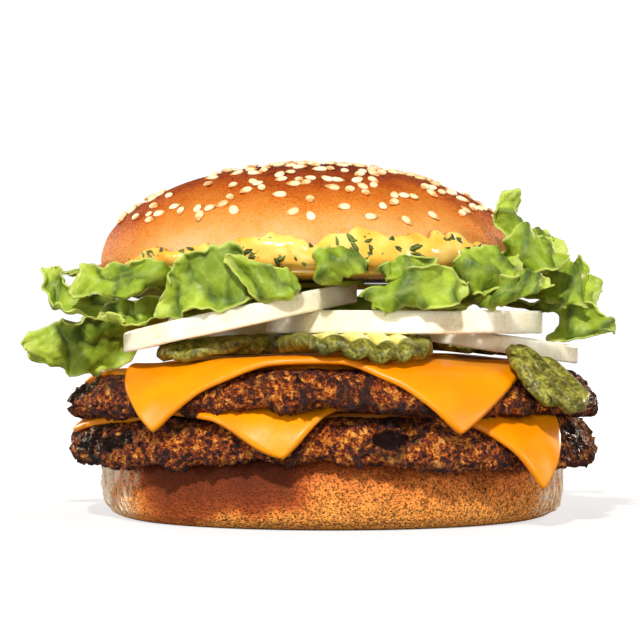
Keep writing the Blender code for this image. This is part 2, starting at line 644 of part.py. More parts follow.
def main():
    """Clears the scene and builds every piece, from the heel to the crown."""
    for old in list(bpy.data.objects):
        bpy.data.objects.remove(old)
    burger = bpy.data.collections.new("double_cheeseburger")
    bpy.context.scene.collection.children.link(burger)
    bread = material("toasted_bread", (0.70, 0.29, 0.07), 0.55)
    beef = material("grilled_beef", (0.13, 0.045, 0.02), 0.45)
    cheese = material("melted_cheese", (0.95, 0.42, 0.02), 0.30)
    pickle = material("pickled_cucumber", (0.28, 0.26, 0.05), 0.35)
    onion = material("raw_onion", (0.90, 0.84, 0.70), 0.30)
    lettuce = material("green_lettuce", (0.30, 0.42, 0.05), 0.45)
    dressing = material("herb_sauce", (0.93, 0.62, 0.15), 0.30)
    build_heel(bread, burger)
    for patty in (LOWER_PATTY, UPPER_PATTY):
        build_patty(patty, beef, burger)
    for slice_ in SLICES:
        build_slice(slice_, cheese, burger)
    for chip in PICKLES:
        build_pickle(chip, pickle, burger)
    for ring in ONIONS:
        build_onion(ring, onion, burger)
    for leaf in (*LEAVES, INNER_LEAF, *back_leaves()):
        build_leaf(leaf, lettuce, burger)
    build_middle_leaf(lettuce, burger)
    build_sauce(dressing, burger)
    build_crown(bread, burger)


main()
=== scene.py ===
"""Looks of a double cheeseburger on a seeded bun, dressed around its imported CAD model.

Every object is in metres in the row frame: the origin is the middle of the heel's flat underside, +Z is up
and the front faces -Y. Shapes are worked out in millimetres by the same rules as the solids, at a finer
pitch, and MM turns them into metres.
"""

import logging
import math
from dataclasses import dataclass
from enum import Enum
from itertools import product

import bmesh
import bpy
import numpy as np
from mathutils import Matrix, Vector

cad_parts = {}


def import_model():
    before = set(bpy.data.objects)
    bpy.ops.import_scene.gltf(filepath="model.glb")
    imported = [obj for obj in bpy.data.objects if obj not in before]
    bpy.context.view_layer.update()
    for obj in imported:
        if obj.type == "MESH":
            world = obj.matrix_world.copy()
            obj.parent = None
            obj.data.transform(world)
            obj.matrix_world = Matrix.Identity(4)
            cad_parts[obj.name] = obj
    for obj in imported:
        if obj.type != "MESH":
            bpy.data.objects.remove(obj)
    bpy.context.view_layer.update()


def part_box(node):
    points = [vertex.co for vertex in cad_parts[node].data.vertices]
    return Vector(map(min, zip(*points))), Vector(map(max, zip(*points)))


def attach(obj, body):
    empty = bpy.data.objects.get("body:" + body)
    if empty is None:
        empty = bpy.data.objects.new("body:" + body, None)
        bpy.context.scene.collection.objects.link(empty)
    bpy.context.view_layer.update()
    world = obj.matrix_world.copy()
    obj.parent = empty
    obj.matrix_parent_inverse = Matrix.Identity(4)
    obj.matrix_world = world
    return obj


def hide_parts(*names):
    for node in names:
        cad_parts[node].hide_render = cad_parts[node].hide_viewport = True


log = logging.getLogger("burger")
Array = np.ndarray
Socket = bpy.types.NodeSocket

MM = 0.001
TAU = 2 * math.pi

# The stack, as the solids have it, in millimetres
GAP = 0.3
HEEL_RADIUS = 55.0
HEEL_HEIGHT = 16.8
SLICE_THICKNESS = 1.5
RIM_RISE = 0.4
RIM_CLEAR = 1.9
PATTY_BEND = 5.4
PATTY_THINS = (26.0, 48.0)
STEEPEST = 84.0
SLICE_FADE = (7.5, 17.0)
LOWER_PATTY_CORE = 6.6
UPPER_PATTY_CORE = 5.8
LOWER_PATTY_BASE = HEEL_HEIGHT + GAP
UPPER_PATTY_BASE = LOWER_PATTY_BASE + LOWER_PATTY_CORE + RIM_RISE + 2 * (SLICE_THICKNESS + GAP) + 3.8 * GAP
CROWN_CENTRE = np.array((-5.3, 0.0, 0.0))
CROWN_RADIUS = 50.0
CROWN_BASE = 57.6
CROWN_WIDEST = 60.5
CROWN_HEIGHT = 83.7
CROWN_CLEAR = 3.2
LAYER_CEILING = 54.9
SAUCE_THICKNESS = 1.5
SAUCE_SKIRT = 9.2
SEED_LENGTH = 3.1
SEED_COUNT = 46
GOLDEN_ANGLE = 137.508
CRINKLE_PITCH = 5.2
CRINKLE_DEPTH = 0.65
PICKLE_THICKNESS = 2.8

# The photograph's view: level, from the front, a little left of the middle
CAMERA_PLACE = (-3.0, -620.0, 46.5)
CAMERA_LENS = 145.3
SENSOR_WIDTH = 36.0


class Slot(Enum):
    """The record's material slots."""

    BREAD = "toasted_bread"
    BEEF = "grilled_beef"
    CHEESE = "melted_cheese"
    PICKLE = "pickled_cucumber"
    ONION = "raw_onion"
    LETTUCE = "green_lettuce"
    SAUCE = "herb_sauce"


# Numbers and patterns

def smooth(low: float, high: float, value: Array) -> Array:
    """0 below low, 1 above high, and an even blend between them."""
    share = np.clip((value - low) / (high - low), 0.0, 1.0)
    return share * share * (3 - 2 * share)


_draw = np.random.default_rng(11)
SHUFFLE = _draw.permutation(256)
GRADIENTS = _draw.normal(size=(256, 3))
GRADIENTS /= np.linalg.norm(GRADIENTS, axis=1, keepdims=True)
SCATTER = _draw.random((256, 3))
# Brings the pattern's range to about -1 to 1
SWIRL_GAIN = 1.7


def hashed(cell: Array) -> Array:
    """A number from 0 to 255 for each cell of whole coordinates.

    Args:
        cell: whole coordinates, three for each cell.

    Returns:
        The numbers.
    """
    first = SHUFFLE[cell[..., 0] & 255]
    second = SHUFFLE[(first + cell[..., 1]) & 255]
    return SHUFFLE[(second + cell[..., 2]) & 255]


def swirl(points: Array, size: float, seed: float = 0.0) -> Array:
    """Smooth unevenness of the points.

    Args:
        points: places in millimetres, three numbers each.
        size: how far apart the features are, in millimetres.
        seed: picks another pattern.

    Returns:
        A number from about -1 to 1 for each point.
    """
    place = points / size + seed * np.array((7.1, 3.3, 5.7))
    low = np.floor(place).astype(int)
    part = place - low
    ease = part**3 * (part * (part * 6 - 15) + 10)
    total = np.zeros(points.shape[:-1])
    for corner in product((0, 1), repeat=3):
        weight = np.prod(np.where(np.array(corner) == 1, ease, 1 - ease), axis=-1)
        total += weight * np.sum(GRADIENTS[hashed(low + corner)] * (part - corner), axis=-1)
    return total * SWIRL_GAIN


def cells(points: Array, size: float, seed: float = 0.0) -> tuple[Array, Array]:
    """Distances from each point to the nearest and the next of scattered middles, as shares of size.

    Args:
        points: places in millimetres, three numbers each.
        size: how far apart the middles are, in millimetres.
        seed: picks another pattern.

    Returns:
        The nearest and the next distance of each point.
    """
    place = points / size + seed * np.array((4.3, 9.1, 2.9))
    low = np.floor(place).astype(int)
    first = np.full(points.shape[:-1], 9.0)
    second = first.copy()
    for step in product((-1, 0, 1), repeat=3):
        cell = low + step
        away = np.linalg.norm(place - cell - SCATTER[hashed(cell)], axis=-1)
        second = np.minimum(second, np.maximum(first, away))
        first = np.minimum(first, away)
    return first, second


def through(points: tuple, share: Array) -> Array:
    """The points at these shares of the smooth curve through four points.

    Args:
        points: the four points.
        share: shares of the way, from 0 to 1.

    Returns:
        One point for each share.
    """
    p = np.array(points, float)
    p = np.vstack((2 * p[0] - p[1], p, 2 * p[-1] - p[-2]))
    step = np.minimum(2, (share * 3).astype(int))
    t = (share * 3 - step)[..., None]
    a, b, c, d = (p[step + k] for k in range(4))
    curve = b * 2 + (c - a) * t + (a * 2 - b * 5 + c * 4 - d) * t**2 + (b * 3 - a - c * 3 + d) * t**3
    return curve / 2


def normals_of(grid: Array, closed: bool = False) -> Array:
    """Unit normals of a grid of points, whose columns may close into a ring.

    Args:
        grid: rows of points.
        closed: whether the last column meets the first.

    Returns:
        One normal for each point.
    """
    if closed:
        across = np.roll(grid, -1, axis=1) - np.roll(grid, 1, axis=1)
    else:
        across = np.gradient(grid, axis=1)
    normal = np.cross(np.gradient(grid, axis=0), across)
    return normal / np.maximum(1e-9, np.linalg.norm(normal, axis=-1, keepdims=True))


def about_z(radius: Array, angle: Array, height: Array) -> Array:
    """Points by their distance from the Z axis, their angle about it and their height."""
    return np.stack((radius * np.cos(angle), radius * np.sin(angle), height), axis=-1)


def round_angles(columns: int) -> Array:
    """A row of even angles that goes once round."""
    return np.linspace(0, TAU, columns, endpoint=False)[None, :]


def turned_grid(profile: Array, columns: int) -> Array:
    """The points of a (radius, height) profile turned round Z, one ring for each of its rows."""
    return about_z(profile[:, :1], round_angles(columns), profile[:, 1:] * np.ones(columns))


def run_of(line: Array) -> Array:
    """How far along a line each of its points is."""
    return np.concatenate(([0], np.cumsum(np.linalg.norm(np.diff(line, axis=0), axis=1))))


def walked(line: Array, run: Array, places: Array) -> Array:
    """The points of a flat line at these distances along it."""
    return np.stack([np.interp(places, run, line[:, k]) for k in (0, 1)], axis=-1)


def eased(line: Array, times: int) -> Array:
    """The line with its corners softened and its ends kept.

    Args:
        line: the points, which are moved in place.
        times: how often the corners are softened.

    Returns:
        The same line.
    """
    for _ in range(times):
        line[1:-1] = (line[:-2] + 2 * line[1:-1] + line[2:]) / 4
    return line


# Bodies

@dataclass
class Body:
    """Points and faces of one closed body in millimetres, with named values for its material."""

    points: Array
    faces: list
    marks: dict


def grid_faces(rows: int, columns: int, start: int, closed: bool) -> Array:
    """Quads of a grid whose points are numbered row by row from start.

    Args:
        rows: how many rows of points.
        columns: how many points in a row.
        start: the first point's number.
        closed: whether the last column meets the first.

    Returns:
        Four point numbers for each quad.
    """
    wide = columns if closed else columns - 1
    row, column = np.meshgrid(np.arange(rows - 1), np.arange(wide), indexing="ij")
    a = start + row * columns + column
    b = start + row * columns + (column + 1) % columns
    return np.stack((a, b, b + columns, a + columns), axis=-1).reshape(-1, 4)


def turned_body(grid: Array, marks: dict) -> Body:
    """A body from rings of points, whose first and last rings are single points.

    Args:
        grid: the rings of points.
        marks: named values at each point.

    Returns:
        The closed body.
    """
    rows, columns = grid.shape[:2]
    points = np.vstack((grid[0, :1], grid[1:-1].reshape(-1, 3), grid[-1, :1]))
    faces = grid_faces(rows - 2, columns, 1, True).tolist()
    last = len(points) - 1
    for column in range(columns):
        after = (column + 1) % columns
        faces.append((0, 1 + after, 1 + column))
        faces.append((last, last - columns + column, last - columns + after))
    kept = {key: np.concatenate((m[0, :1], m[1:-1].ravel(), m[-1, :1])) for key, m in marks.items()}
    return Body(points, faces, kept)


def slab_body(middle: Array, thickness: Array, marks: dict) -> Body:
    """A sheet with a rounded edge.

    Args:
        middle: the grid of points half way through the sheet.
        thickness: the sheet's thickness at each point.
        marks: named values at each point.

    Returns:
        The closed body.
    """
    rows, columns = middle.shape[:2]
    count = rows * columns
    lift = normals_of(middle) * thickness[..., None] / 2
    number = np.arange(count).reshape(rows, columns)
    ring = np.concatenate((number[0, :-1], number[:-1, -1], number[-1, :0:-1], number[:0:-1, 0]))
    row, column = ring // columns, ring % columns
    inner = middle[np.clip(row, 1, rows - 2), np.clip(column, 1, columns - 2)]
    outward = middle[row, column] - inner
    outward /= np.maximum(1e-9, np.linalg.norm(outward, axis=-1, keepdims=True))
    rim = middle[row, column] + outward * thickness[row, column, None] * 0.42
    points = np.vstack(((middle + lift).reshape(-1, 3), (middle - lift).reshape(-1, 3), rim))
    faces = grid_faces(rows, columns, 0, False)
    after, edge = np.roll(ring, -1), 2 * count + np.arange(len(ring))
    beyond = np.roll(edge, -1)
    upper = np.stack((ring, edge, beyond, after), axis=-1)
    lower = np.stack((edge, ring + count, after + count, beyond), axis=-1)
    every = np.vstack((faces, faces[:, ::-1] + count, upper, lower)).tolist()
    kept = {key: np.concatenate((m.ravel(), m.ravel(), m[row, column])) for key, m in marks.items()}
    return Body(points, every, kept)


def band_body(grid: Array, marks: dict) -> Body:
    """A body from a closed section in rows carried along the columns, its two ends filled.

    Args:
        grid: the points, a row for each corner of the section.
        marks: named values at each point.

    Returns:
        The closed body.
    """
    rows, columns = grid.shape[:2]
    points = grid.reshape(-1, 3)
    row, column = np.meshgrid(np.arange(rows), np.arange(columns - 1), indexing="ij")
    a, b = row * columns + column, ((row + 1) % rows) * columns + column
    faces = np.stack((a, a + 1, b + 1, b), axis=-1).reshape(-1, 4).tolist()
    kept = {key: m.ravel() for key, m in marks.items()}
    for column in (0, columns - 1):
        middle = len(points)
        points = np.vstack((points, grid[:, column].mean(axis=0)))
        kept = {key: np.append(kept[key], m[:, column].mean()) for key, m in marks.items()}
        faces += [(k * columns + column, ((k + 1) % rows) * columns + column, middle) for k in range(rows)]
    return Body(points, faces, kept)


def add_piece(name: str, body: Body, finish: bpy.types.Material, slot: Slot, *nodes: str) -> None:
    """Adds a piece that rides on the one body and stands for its CAD nodes.

    Args:
        name: the piece's name.
        body: its shape in millimetres.
        finish: its material.
        slot: the record's slot for that material; not used.
        nodes: the CAD nodes that it replaces.
    """
    mesh = bpy.data.meshes.new(name)
    mesh.from_pydata((body.points * MM).tolist(), [], body.faces)
    for key, values in body.marks.items():
        mesh.attributes.new(key, "FLOAT", "POINT").data.foreach_set("value", values.astype(np.float32))
    work = bmesh.new()
    work.from_mesh(mesh)
    bmesh.ops.recalc_face_normals(work, faces=work.faces)
    work.to_mesh(mesh)
    work.free()
    mesh.shade_smooth()
    mesh.materials.append(finish)
    piece = bpy.data.objects.new(name, mesh)
    bpy.context.scene.collection.objects.link(piece)
    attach(piece, "root")
    if nodes:
        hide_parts(*nodes)
        low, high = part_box(nodes[0])
        now = np.array([body.points.min(axis=0), body.points.max(axis=0)])
        drift = np.abs(now - np.array([low, high]) / MM).max()
        log.info("%s replaces %s, %d faces, box within %.1f mm", name, nodes[0], len(body.faces), drift)
    else:
        log.info("%s, %d faces", name, len(body.faces))


# Materials

def linear(colour: str) -> tuple:
    """The linear colour of an sRGB hex value such as #F2A81E."""
    values = [int(colour[k:k + 2], 16) / 255 for k in (1, 3, 5)]
    return (*(v / 12.92 if v <= 0.04045 else ((v + 0.055) / 1.055) ** 2.4 for v in values), 1.0)


def per(size: float) -> float:
    """The scale that gives a pattern features of this size, in millimetres."""
    return 1 / (size * MM)


def add(tree: bpy.types.NodeTree, kind: str, inputs: dict, output: int = 0, stops: tuple = (),
        **settings) -> Socket:
    """Adds a node with its settings and links.

    Args:
        tree: the material's node tree.
        kind: the node's type, without the ShaderNode in front.
        inputs: a value or another node's socket for each input, by name or number.
        output: which output to return.
        stops: for a colour ramp, pairs of position and sRGB hex colour.
        settings: the node's own properties.

    Returns:
        The output's socket.
    """
    made = tree.nodes.new("ShaderNode" + kind)
    for key, value in settings.items():
        setattr(made, key, value)
    for key, value in inputs.items():
        if isinstance(value, Socket):
            tree.links.new(value, made.inputs[key])
        else:
            made.inputs[key].default_value = value
    for index, (position, colour) in enumerate(stops):
        points = made.color_ramp.elements
        point = points[index] if index < 2 else points.new(position)
        point.position, point.color = position, linear(colour)
    return made.outputs[output]


@dataclass(frozen=True)
class Finish:
    """What every finish has: its name and the numbers set on the shader itself.

    Light goes depth millimetres into it, by the shares in reach for red, green and blue.
    """

    name: str
    roughness: float
    ior: float = 1.45
    subsurface: float = 0.0
    depth: float = 1.0
    reach: tuple = (1.0, 0.5, 0.25)

    def make(self) -> bpy.types.Material:
        """The material, its pattern painted by the finish's own rule.

        Returns:
            The material.
        """
        made = bpy.data.materials.new(self.name)
        made.use_nodes = True
        tree = made.node_tree
        shader = tree.nodes["Principled BSDF"]
        shader.inputs["Roughness"].default_value = self.roughness
        shader.inputs["IOR"].default_value = self.ior
        if self.subsurface:
            shader.subsurface_method = "RANDOM_WALK"
            shader.inputs["Subsurface Weight"].default_value = self.subsurface
            shader.inputs["Subsurface Radius"].default_value = self.reach
            shader.inputs["Subsurface Scale"].default_value = self.depth * MM
        place = add(tree, "TexCoord", {}, 3)
        for key, socket in self.paint(tree, place).items():
            tree.links.new(socket, shader.inputs[key])
        return made

    def paint(self, tree: bpy.types.NodeTree, place: Socket) -> dict:
        """The sockets that this finish's pattern drives, by the shader's input."""
        raise NotImplementedError


@dataclass(frozen=True)
class Crust(Finish):
    """Baked wheat crust, egg-washed: deep brown where the oven was hottest, pale where it was sheltered.

    It browns between the heights low and high by its stops; on the heel the darkening towards the top is
    painted shade under the patties. Its pits are pitch apart and relief deep, and their dark colour is
    painted shade. All of these are in millimetres. The other numbers say how strongly each pattern shows.
    """

    low: float = 0.0
    high: float = 1.0
    stops: tuple = ()
    crumb: str = "#E9C489"
    pitch: float = 0.8
    open_pores: float = 0.0
    mottle: float = 0.5
    grain: float = 0.2
    relief: float = 0.12

    def paint(self, tree: bpy.types.NodeTree, place: Socket) -> dict:
        """Browning by height with painted shade, mottled, with a fine pitted skin and open crumb on the cut
        face.

        Args:
            tree: the material's node tree.
            place: each point's coordinates in the object.

        Returns:
            The sockets that drive the shader, by its input.
        """
        bake, pore, cut, pale = (add(tree, "Attribute", {}, 2, attribute_name=key)
                                 for key in ("bake", "pore", "cut", "pale"))
        height = add(tree, "SeparateXYZ", {0: place}, 2)
        cloud = add(tree, "TexNoise", {"Vector": place, "Scale": per(9.0), "Detail": 4.0})
        # The skin's blisters, about 0.2 mm, are too fine to show and are drawn at 0.6 mm
        fine = add(tree, "TexNoise", {"Vector": place, "Scale": per(0.6), "Detail": 4.0, "Roughness": 0.7})
        share = add(tree, "MapRange", {0: height, 1: self.low * MM, 2: self.high * MM, 3: 0.0, 4: 1.0})
        spread = add(tree, "Math", {0: cloud, 1: 0.34, 2: -0.17}, operation="MULTIPLY_ADD")
        speckle = add(tree, "Math", {0: fine, 1: self.mottle, 2: -0.5 * self.mottle},
                      operation="MULTIPLY_ADD")
        toasted = add(tree, "Math", {0: share, 1: spread}, operation="ADD")
        toasted = add(tree, "Math", {0: toasted, 1: speckle}, operation="ADD")
        # Painted shade: a mark darkens the browning where shade falls
        toasted = add(tree, "Math", {0: toasted, 1: bake}, operation="ADD")
        brown = add(tree, "ValToRGB", {0: toasted}, stops=self.stops)
        pits = add(tree, "TexVoronoi", {"Vector": place, "Scale": per(self.pitch), "Randomness": 1.0})
        pitted = add(tree, "MapRange", {0: pits, 1: 0.12, 2: 0.5, 3: 0.0, 4: 1.0})
        ragged = add(tree, "Math", {0: fine, 1: 0.9, 2: pits}, operation="MULTIPLY_ADD")
        hole = add(tree, "MapRange", {0: ragged, 1: 0.88, 2: 0.66, 3: 0.0, 4: self.open_pores})
        deep = add(tree, "Math", {0: pore, 1: hole}, operation="MAXIMUM")
        shade = add(tree, "MapRange", {0: fine, 1: 0.36, 2: 0.64, 3: 1 - self.grain, 4: 1 + self.grain})
        brown = add(tree, "VectorMath", {0: brown, "Scale": shade}, operation="SCALE")
        # Painted shade: the pores are dark, and the crumb's pits are darker than the crumb around them
        dark = add(tree, "Mix", {0: deep, 6: brown, 7: linear("#6C2C0A")}, 2, data_type="RGBA")
        soft = add(tree, "Mix", {0: pitted, 6: linear("#C98F4E"), 7: linear(self.crumb)}, 2, data_type="RGBA")
        # Pale crust, brightened as a painted rim highlight where the pale mark says
        dark = add(tree, "Mix", {0: pale, 6: dark, 7: linear("#FCEACC")}, 2, data_type="RGBA")
        colour = add(tree, "Mix", {0: cut, 6: dark, 7: soft}, 2, data_type="RGBA")
        rough = add(tree, "MapRange", {0: fine, 1: 0.3, 2: 0.7, 3: self.roughness - 0.06,
                                       4: self.roughness + 0.1})
        rise = add(tree, "Math", {0: pitted, 1: fine}, operation="ADD")
        bump = add(tree, "Bump", {"Height": rise, "Strength": 0.6, "Distance": self.relief * MM})
        return {"Base Color": colour, "Roughness": rough, "Normal": bump}


@dataclass(frozen=True)
class GrilledBeef(Finish):
    """Coarse minced beef off a hot grill: brown strands with rendered fat on them, and black glossy char."""

    def paint(self, tree: bpy.types.NodeTree, place: Socket) -> dict:
        """Browns mixed strand by strand, lighter on the raised crumbs as painted light, with painted shade in
        the cracks, black where the char mark says.

        Args:
            tree: the material's node tree.
            place: each point's coordinates in the object.

        Returns:
            The sockets that drive the shader, by its input.
        """
        rise, crack, char = (add(tree, "Attribute", {}, 2, attribute_name=key)
                             for key in ("rise", "crack", "char"))
        strands = add(tree, "TexNoise", {"Vector": place, "Scale": per(1.1), "Detail": 8.0,
                                         "Roughness": 0.74})
        # Single fibres, about 0.1 mm, are too fine to show and are drawn at 0.45 mm
        fibre = add(tree, "TexNoise", {"Vector": place, "Scale": per(0.45), "Detail": 4.0, "Roughness": 0.7})
        grain = add(tree, "TexVoronoi", {"Vector": place, "Scale": per(1.3), "Randomness": 1.0})
        # Painted light: lighter where the rise mark says the crumbs stand up, darker in the low ones
        tone = add(tree, "Math", {0: rise, 1: 0.3, 2: strands}, operation="MULTIPLY_ADD")
        tone = add(tree, "Math", {0: fibre, 1: 0.35, 2: tone}, operation="MULTIPLY_ADD")
        stops = ((0.68, "#200804"), (0.755, "#6E2606"), (0.82, "#B4520E"), (0.88, "#DE8422"),
                 (0.95, "#EEB256"))
        brown = add(tree, "ValToRGB", {0: tone}, stops=stops)
        shade = add(tree, "MapRange", {0: fibre, 1: 0.35, 2: 0.65, 3: 0.8, 4: 1.7})
        brown = add(tree, "VectorMath", {0: brown, "Scale": shade}, operation="SCALE")
        # Painted shade in the cracks
        deep = add(tree, "Mix", {0: crack, 6: brown, 7: linear("#2A0D05")}, 2, data_type="RGBA")
        torn = add(tree, "TexNoise", {"Vector": place, "Scale": per(2.8), "Detail": 7.0, "Roughness": 0.75})
        ragged = add(tree, "Math", {0: torn, 1: 1.6, 2: char}, operation="MULTIPLY_ADD")
        burnt = add(tree, "MapRange", {0: ragged, 1: 1.24, 2: 1.46, 3: 0.0, 4: 1.0})
        colour = add(tree, "Mix", {0: burnt, 6: deep, 7: linear("#1C0A05")}, 2, data_type="RGBA")
        wet = add(tree, "MapRange", {0: fibre, 1: 0.45, 2: 0.65, 3: 0.75, 4: self.roughness})
        rough = add(tree, "Mix", {0: burnt, 2: wet, 3: 0.2}, 0, data_type="FLOAT")
        height = add(tree, "Math", {0: strands, 1: fibre}, operation="ADD")
        height = add(tree, "Math", {0: grain, 1: -0.9, 2: height}, operation="MULTIPLY_ADD")
        bump = add(tree, "Bump", {"Height": height, "Strength": 1.0, "Distance": 1.1 * MM})
        return {"Base Color": colour, "Roughness": rough, "Normal": bump}


@dataclass(frozen=True)
class MeltedCheese(Finish):
    """Processed cheddar, warm and soft: smooth, waxy and a little see-through."""

    def paint(self, tree: bpy.types.NodeTree, place: Socket) -> dict:
        """An even orange-yellow with faint clouds and the shallow ripples of melting.

        Args:
            tree: the material's node tree.
            place: each point's coordinates in the object.

        Returns:
            The sockets that drive the shader, by its input.
        """
        cloud = add(tree, "TexNoise", {"Vector": place, "Scale": per(14.0), "Detail": 2.0})
        colour = add(tree, "ValToRGB", {0: cloud}, stops=((0.35, "#E68200"), (0.65, "#EA9000")))
        ripple = add(tree, "TexNoise", {"Vector": place, "Scale": per(4.5), "Detail": 2.0})
        pits = add(tree, "TexNoise", {"Vector": place, "Scale": per(0.8), "Detail": 2.0})
        rough = add(tree, "MapRange", {0: ripple, 1: 0.3, 2: 0.7, 3: self.roughness - 0.05,
                                       4: self.roughness + 0.1})
        rise = add(tree, "Math", {0: pits, 1: 0.12, 2: ripple}, operation="MULTIPLY_ADD")
        bump = add(tree, "Bump", {"Height": rise, "Strength": 0.25, "Distance": 0.5 * MM})
        return {"Base Color": colour, "Roughness": rough, "Normal": bump}


@dataclass(frozen=True)
class PickledCucumber(Finish):
    """Cucumber in brine, cut with a crinkle blade: watery yellow-green flesh in a dark warty skin."""

    def paint(self, tree: bpy.types.NodeTree, place: Socket) -> dict:
        """Flesh brightest on the ridges as a painted highlight, the skin dark and blotched.

        Args:
            tree: the material's node tree.
            place: each point's coordinates in the object.

        Returns:
            The sockets that drive the shader, by its input.
        """
        cloud = add(tree, "TexNoise", {"Vector": place, "Scale": per(3.0), "Detail": 4.0})
        fine = add(tree, "TexNoise", {"Vector": place, "Scale": per(0.8), "Detail": 3.0})
        ridge, skin = (add(tree, "Attribute", {}, 2, attribute_name=key) for key in ("ridge", "skin"))
        # Painted highlight: the flesh is lighter on the crinkles' crests
        lit = add(tree, "Math", {0: cloud, 1: 0.7, 2: ridge}, operation="MULTIPLY_ADD")
        flesh = add(tree, "ValToRGB", {0: lit}, stops=((0.25, "#C8B842"), (0.55, "#ECDC72"),
                                                       (0.95, "#FAF0AC")))
        blotch = add(tree, "Math", {0: cloud, 1: 1.1, 2: fine}, operation="MULTIPLY_ADD")
        blotch = add(tree, "Math", {0: blotch, 1: 0.5}, operation="MULTIPLY")
        rind = add(tree, "ValToRGB", {0: blotch}, stops=((0.36, "#2C280C"), (0.52, "#66621F"),
                                                         (0.68, "#A49E42")))
        colour = add(tree, "Mix", {0: skin, 6: flesh, 7: rind}, 2, data_type="RGBA")
        rough = add(tree, "MapRange", {0: fine, 1: 0.3, 2: 0.7, 3: self.roughness, 4: self.roughness + 0.15})
        bump = add(tree, "Bump", {"Height": fine, "Strength": 0.6, "Distance": 0.4 * MM})
        return {"Base Color": colour, "Roughness": rough, "Normal": bump}


@dataclass(frozen=True)
class RawOnion(Finish):
    """White onion, freshly sliced: juicy and half see-through, with fine fibres that run from root to tip."""

    def paint(self, tree: bpy.types.NodeTree, place: Socket) -> dict:
        """Fibres drawn across the band by the distance along it, under a wet skin.

        Args:
            tree: the material's node tree.
            place: each point's coordinates in the object.

        Returns:
            The sockets that drive the shader, by its input.
        """
        along = add(tree, "Attribute", {}, 2, attribute_name="along")
        line = add(tree, "CombineXYZ", {0: along, 2: add(tree, "SeparateXYZ", {0: place}, 2)})
        # The rows of cells, about 0.3 mm, are too fine to show and are drawn at 0.9 mm
        fibre = add(tree, "TexNoise", {"Vector": line, "Scale": per(0.9), "Detail": 3.0})
        cloud = add(tree, "TexNoise", {"Vector": place, "Scale": per(7.0), "Detail": 2.0})
        tone = add(tree, "Math", {0: fibre, 1: 0.6, 2: cloud}, operation="MULTIPLY_ADD")
        colour = add(tree, "ValToRGB", {0: tone}, stops=((0.5, "#DCCCA2"), (0.7, "#EDE0BF"),
                                                         (1.0, "#F6EDD4")))
        rough = add(tree, "MapRange", {0: fibre, 1: 0.3, 2: 0.7, 3: self.roughness, 4: self.roughness + 0.12})
        bump = add(tree, "Bump", {"Height": fibre, "Strength": 0.3, "Distance": 0.15 * MM})
        return {"Base Color": colour, "Roughness": rough, "Normal": bump}


@dataclass(frozen=True)
class GreenLettuce(Finish):
    """Green leaf lettuce: a thin waxy blade, pale at its rib and veins, that lets light through."""

    def paint(self, tree: bpy.types.NodeTree, place: Socket) -> dict:
        """Greens from root to frill, with pale veins, a finely puckered skin, painted shade in the folds and
        a painted highlight along the margins.

        Args:
            tree: the material's node tree.
            place: each point's coordinates in the object.

        Returns:
            The sockets that drive the shader, by its input.
        """
        cloud = add(tree, "TexNoise", {"Vector": place, "Scale": per(8.0), "Detail": 3.0})
        pucker = add(tree, "TexNoise", {"Vector": place, "Scale": per(1.6), "Detail": 3.0})
        vein, frill, fold, pale = (add(tree, "Attribute", {}, 2, attribute_name=key)
                                   for key in ("vein", "frill", "fold", "pale"))
        depth = add(tree, "Math", {0: cloud, 1: 0.5, 2: frill}, operation="MULTIPLY_ADD")
        stops = ((0.15, "#CACE58"), (0.45, "#A2B22E"), (0.75, "#829A20"), (1.0, "#A6B834"))
        green = add(tree, "ValToRGB", {0: depth}, stops=stops)
        speck = add(tree, "MapRange", {0: pucker, 1: 0.3, 2: 0.7, 3: 0.0, 4: 0.45})
        dapple = add(tree, "Mix", {0: speck, 6: green, 7: linear("#6C8216")}, 2, data_type="RGBA")
        # Painted shade: dark green in the valleys between the folds
        deep = add(tree, "Mix", {0: fold, 6: linear("#425A10"), 7: dapple}, 2, data_type="RGBA")
        # Painted highlight: pale yellow-green along the margins
        edged = add(tree, "Mix", {0: pale, 6: deep, 7: linear("#C9D070")}, 2, data_type="RGBA")
        colour = add(tree, "Mix", {0: vein, 6: edged, 7: linear("#B9C25A")}, 2, data_type="RGBA")
        rough = add(tree, "MapRange", {0: pucker, 1: 0.3, 2: 0.7, 3: self.roughness - 0.05,
                                       4: self.roughness + 0.15})
        bump = add(tree, "Bump", {"Height": pucker, "Strength": 0.7, "Distance": 0.5 * MM})
        return {"Base Color": colour, "Roughness": rough, "Normal": bump}


@dataclass(frozen=True)
class HerbSauce(Finish):
    """Mayonnaise dressing with mustard and chopped herbs: thick, oily and glossy."""

    def paint(self, tree: bpy.types.NodeTree, place: Socket) -> dict:
        """A creamy yellow, deeper in its folds, with herb dust stirred in.

        Args:
            tree: the material's node tree.
            place: each point's coordinates in the object.

        Returns:
            The sockets that drive the shader, by its input.
        """
        cloud = add(tree, "TexNoise", {"Vector": place, "Scale": per(6.0), "Detail": 3.0})
        cream = add(tree, "ValToRGB", {0: cloud}, stops=((0.3, "#E79F30"), (0.5, "#EFBB50"),
                                                         (0.7, "#F3CC72")))
        dust = add(tree, "TexVoronoi", {"Vector": place, "Scale": per(2.4), "Randomness": 1.0})
        fleck = add(tree, "MapRange", {0: dust, 1: 0.17, 2: 0.11, 3: 0.0, 4: 0.8})
        colour = add(tree, "Mix", {0: fleck, 6: cream, 7: linear("#4B5A1C")}, 2, data_type="RGBA")
        bump = add(tree, "Bump", {"Height": cloud, "Strength": 0.3, "Distance": 0.6 * MM})
        return {"Base Color": colour, "Normal": bump}


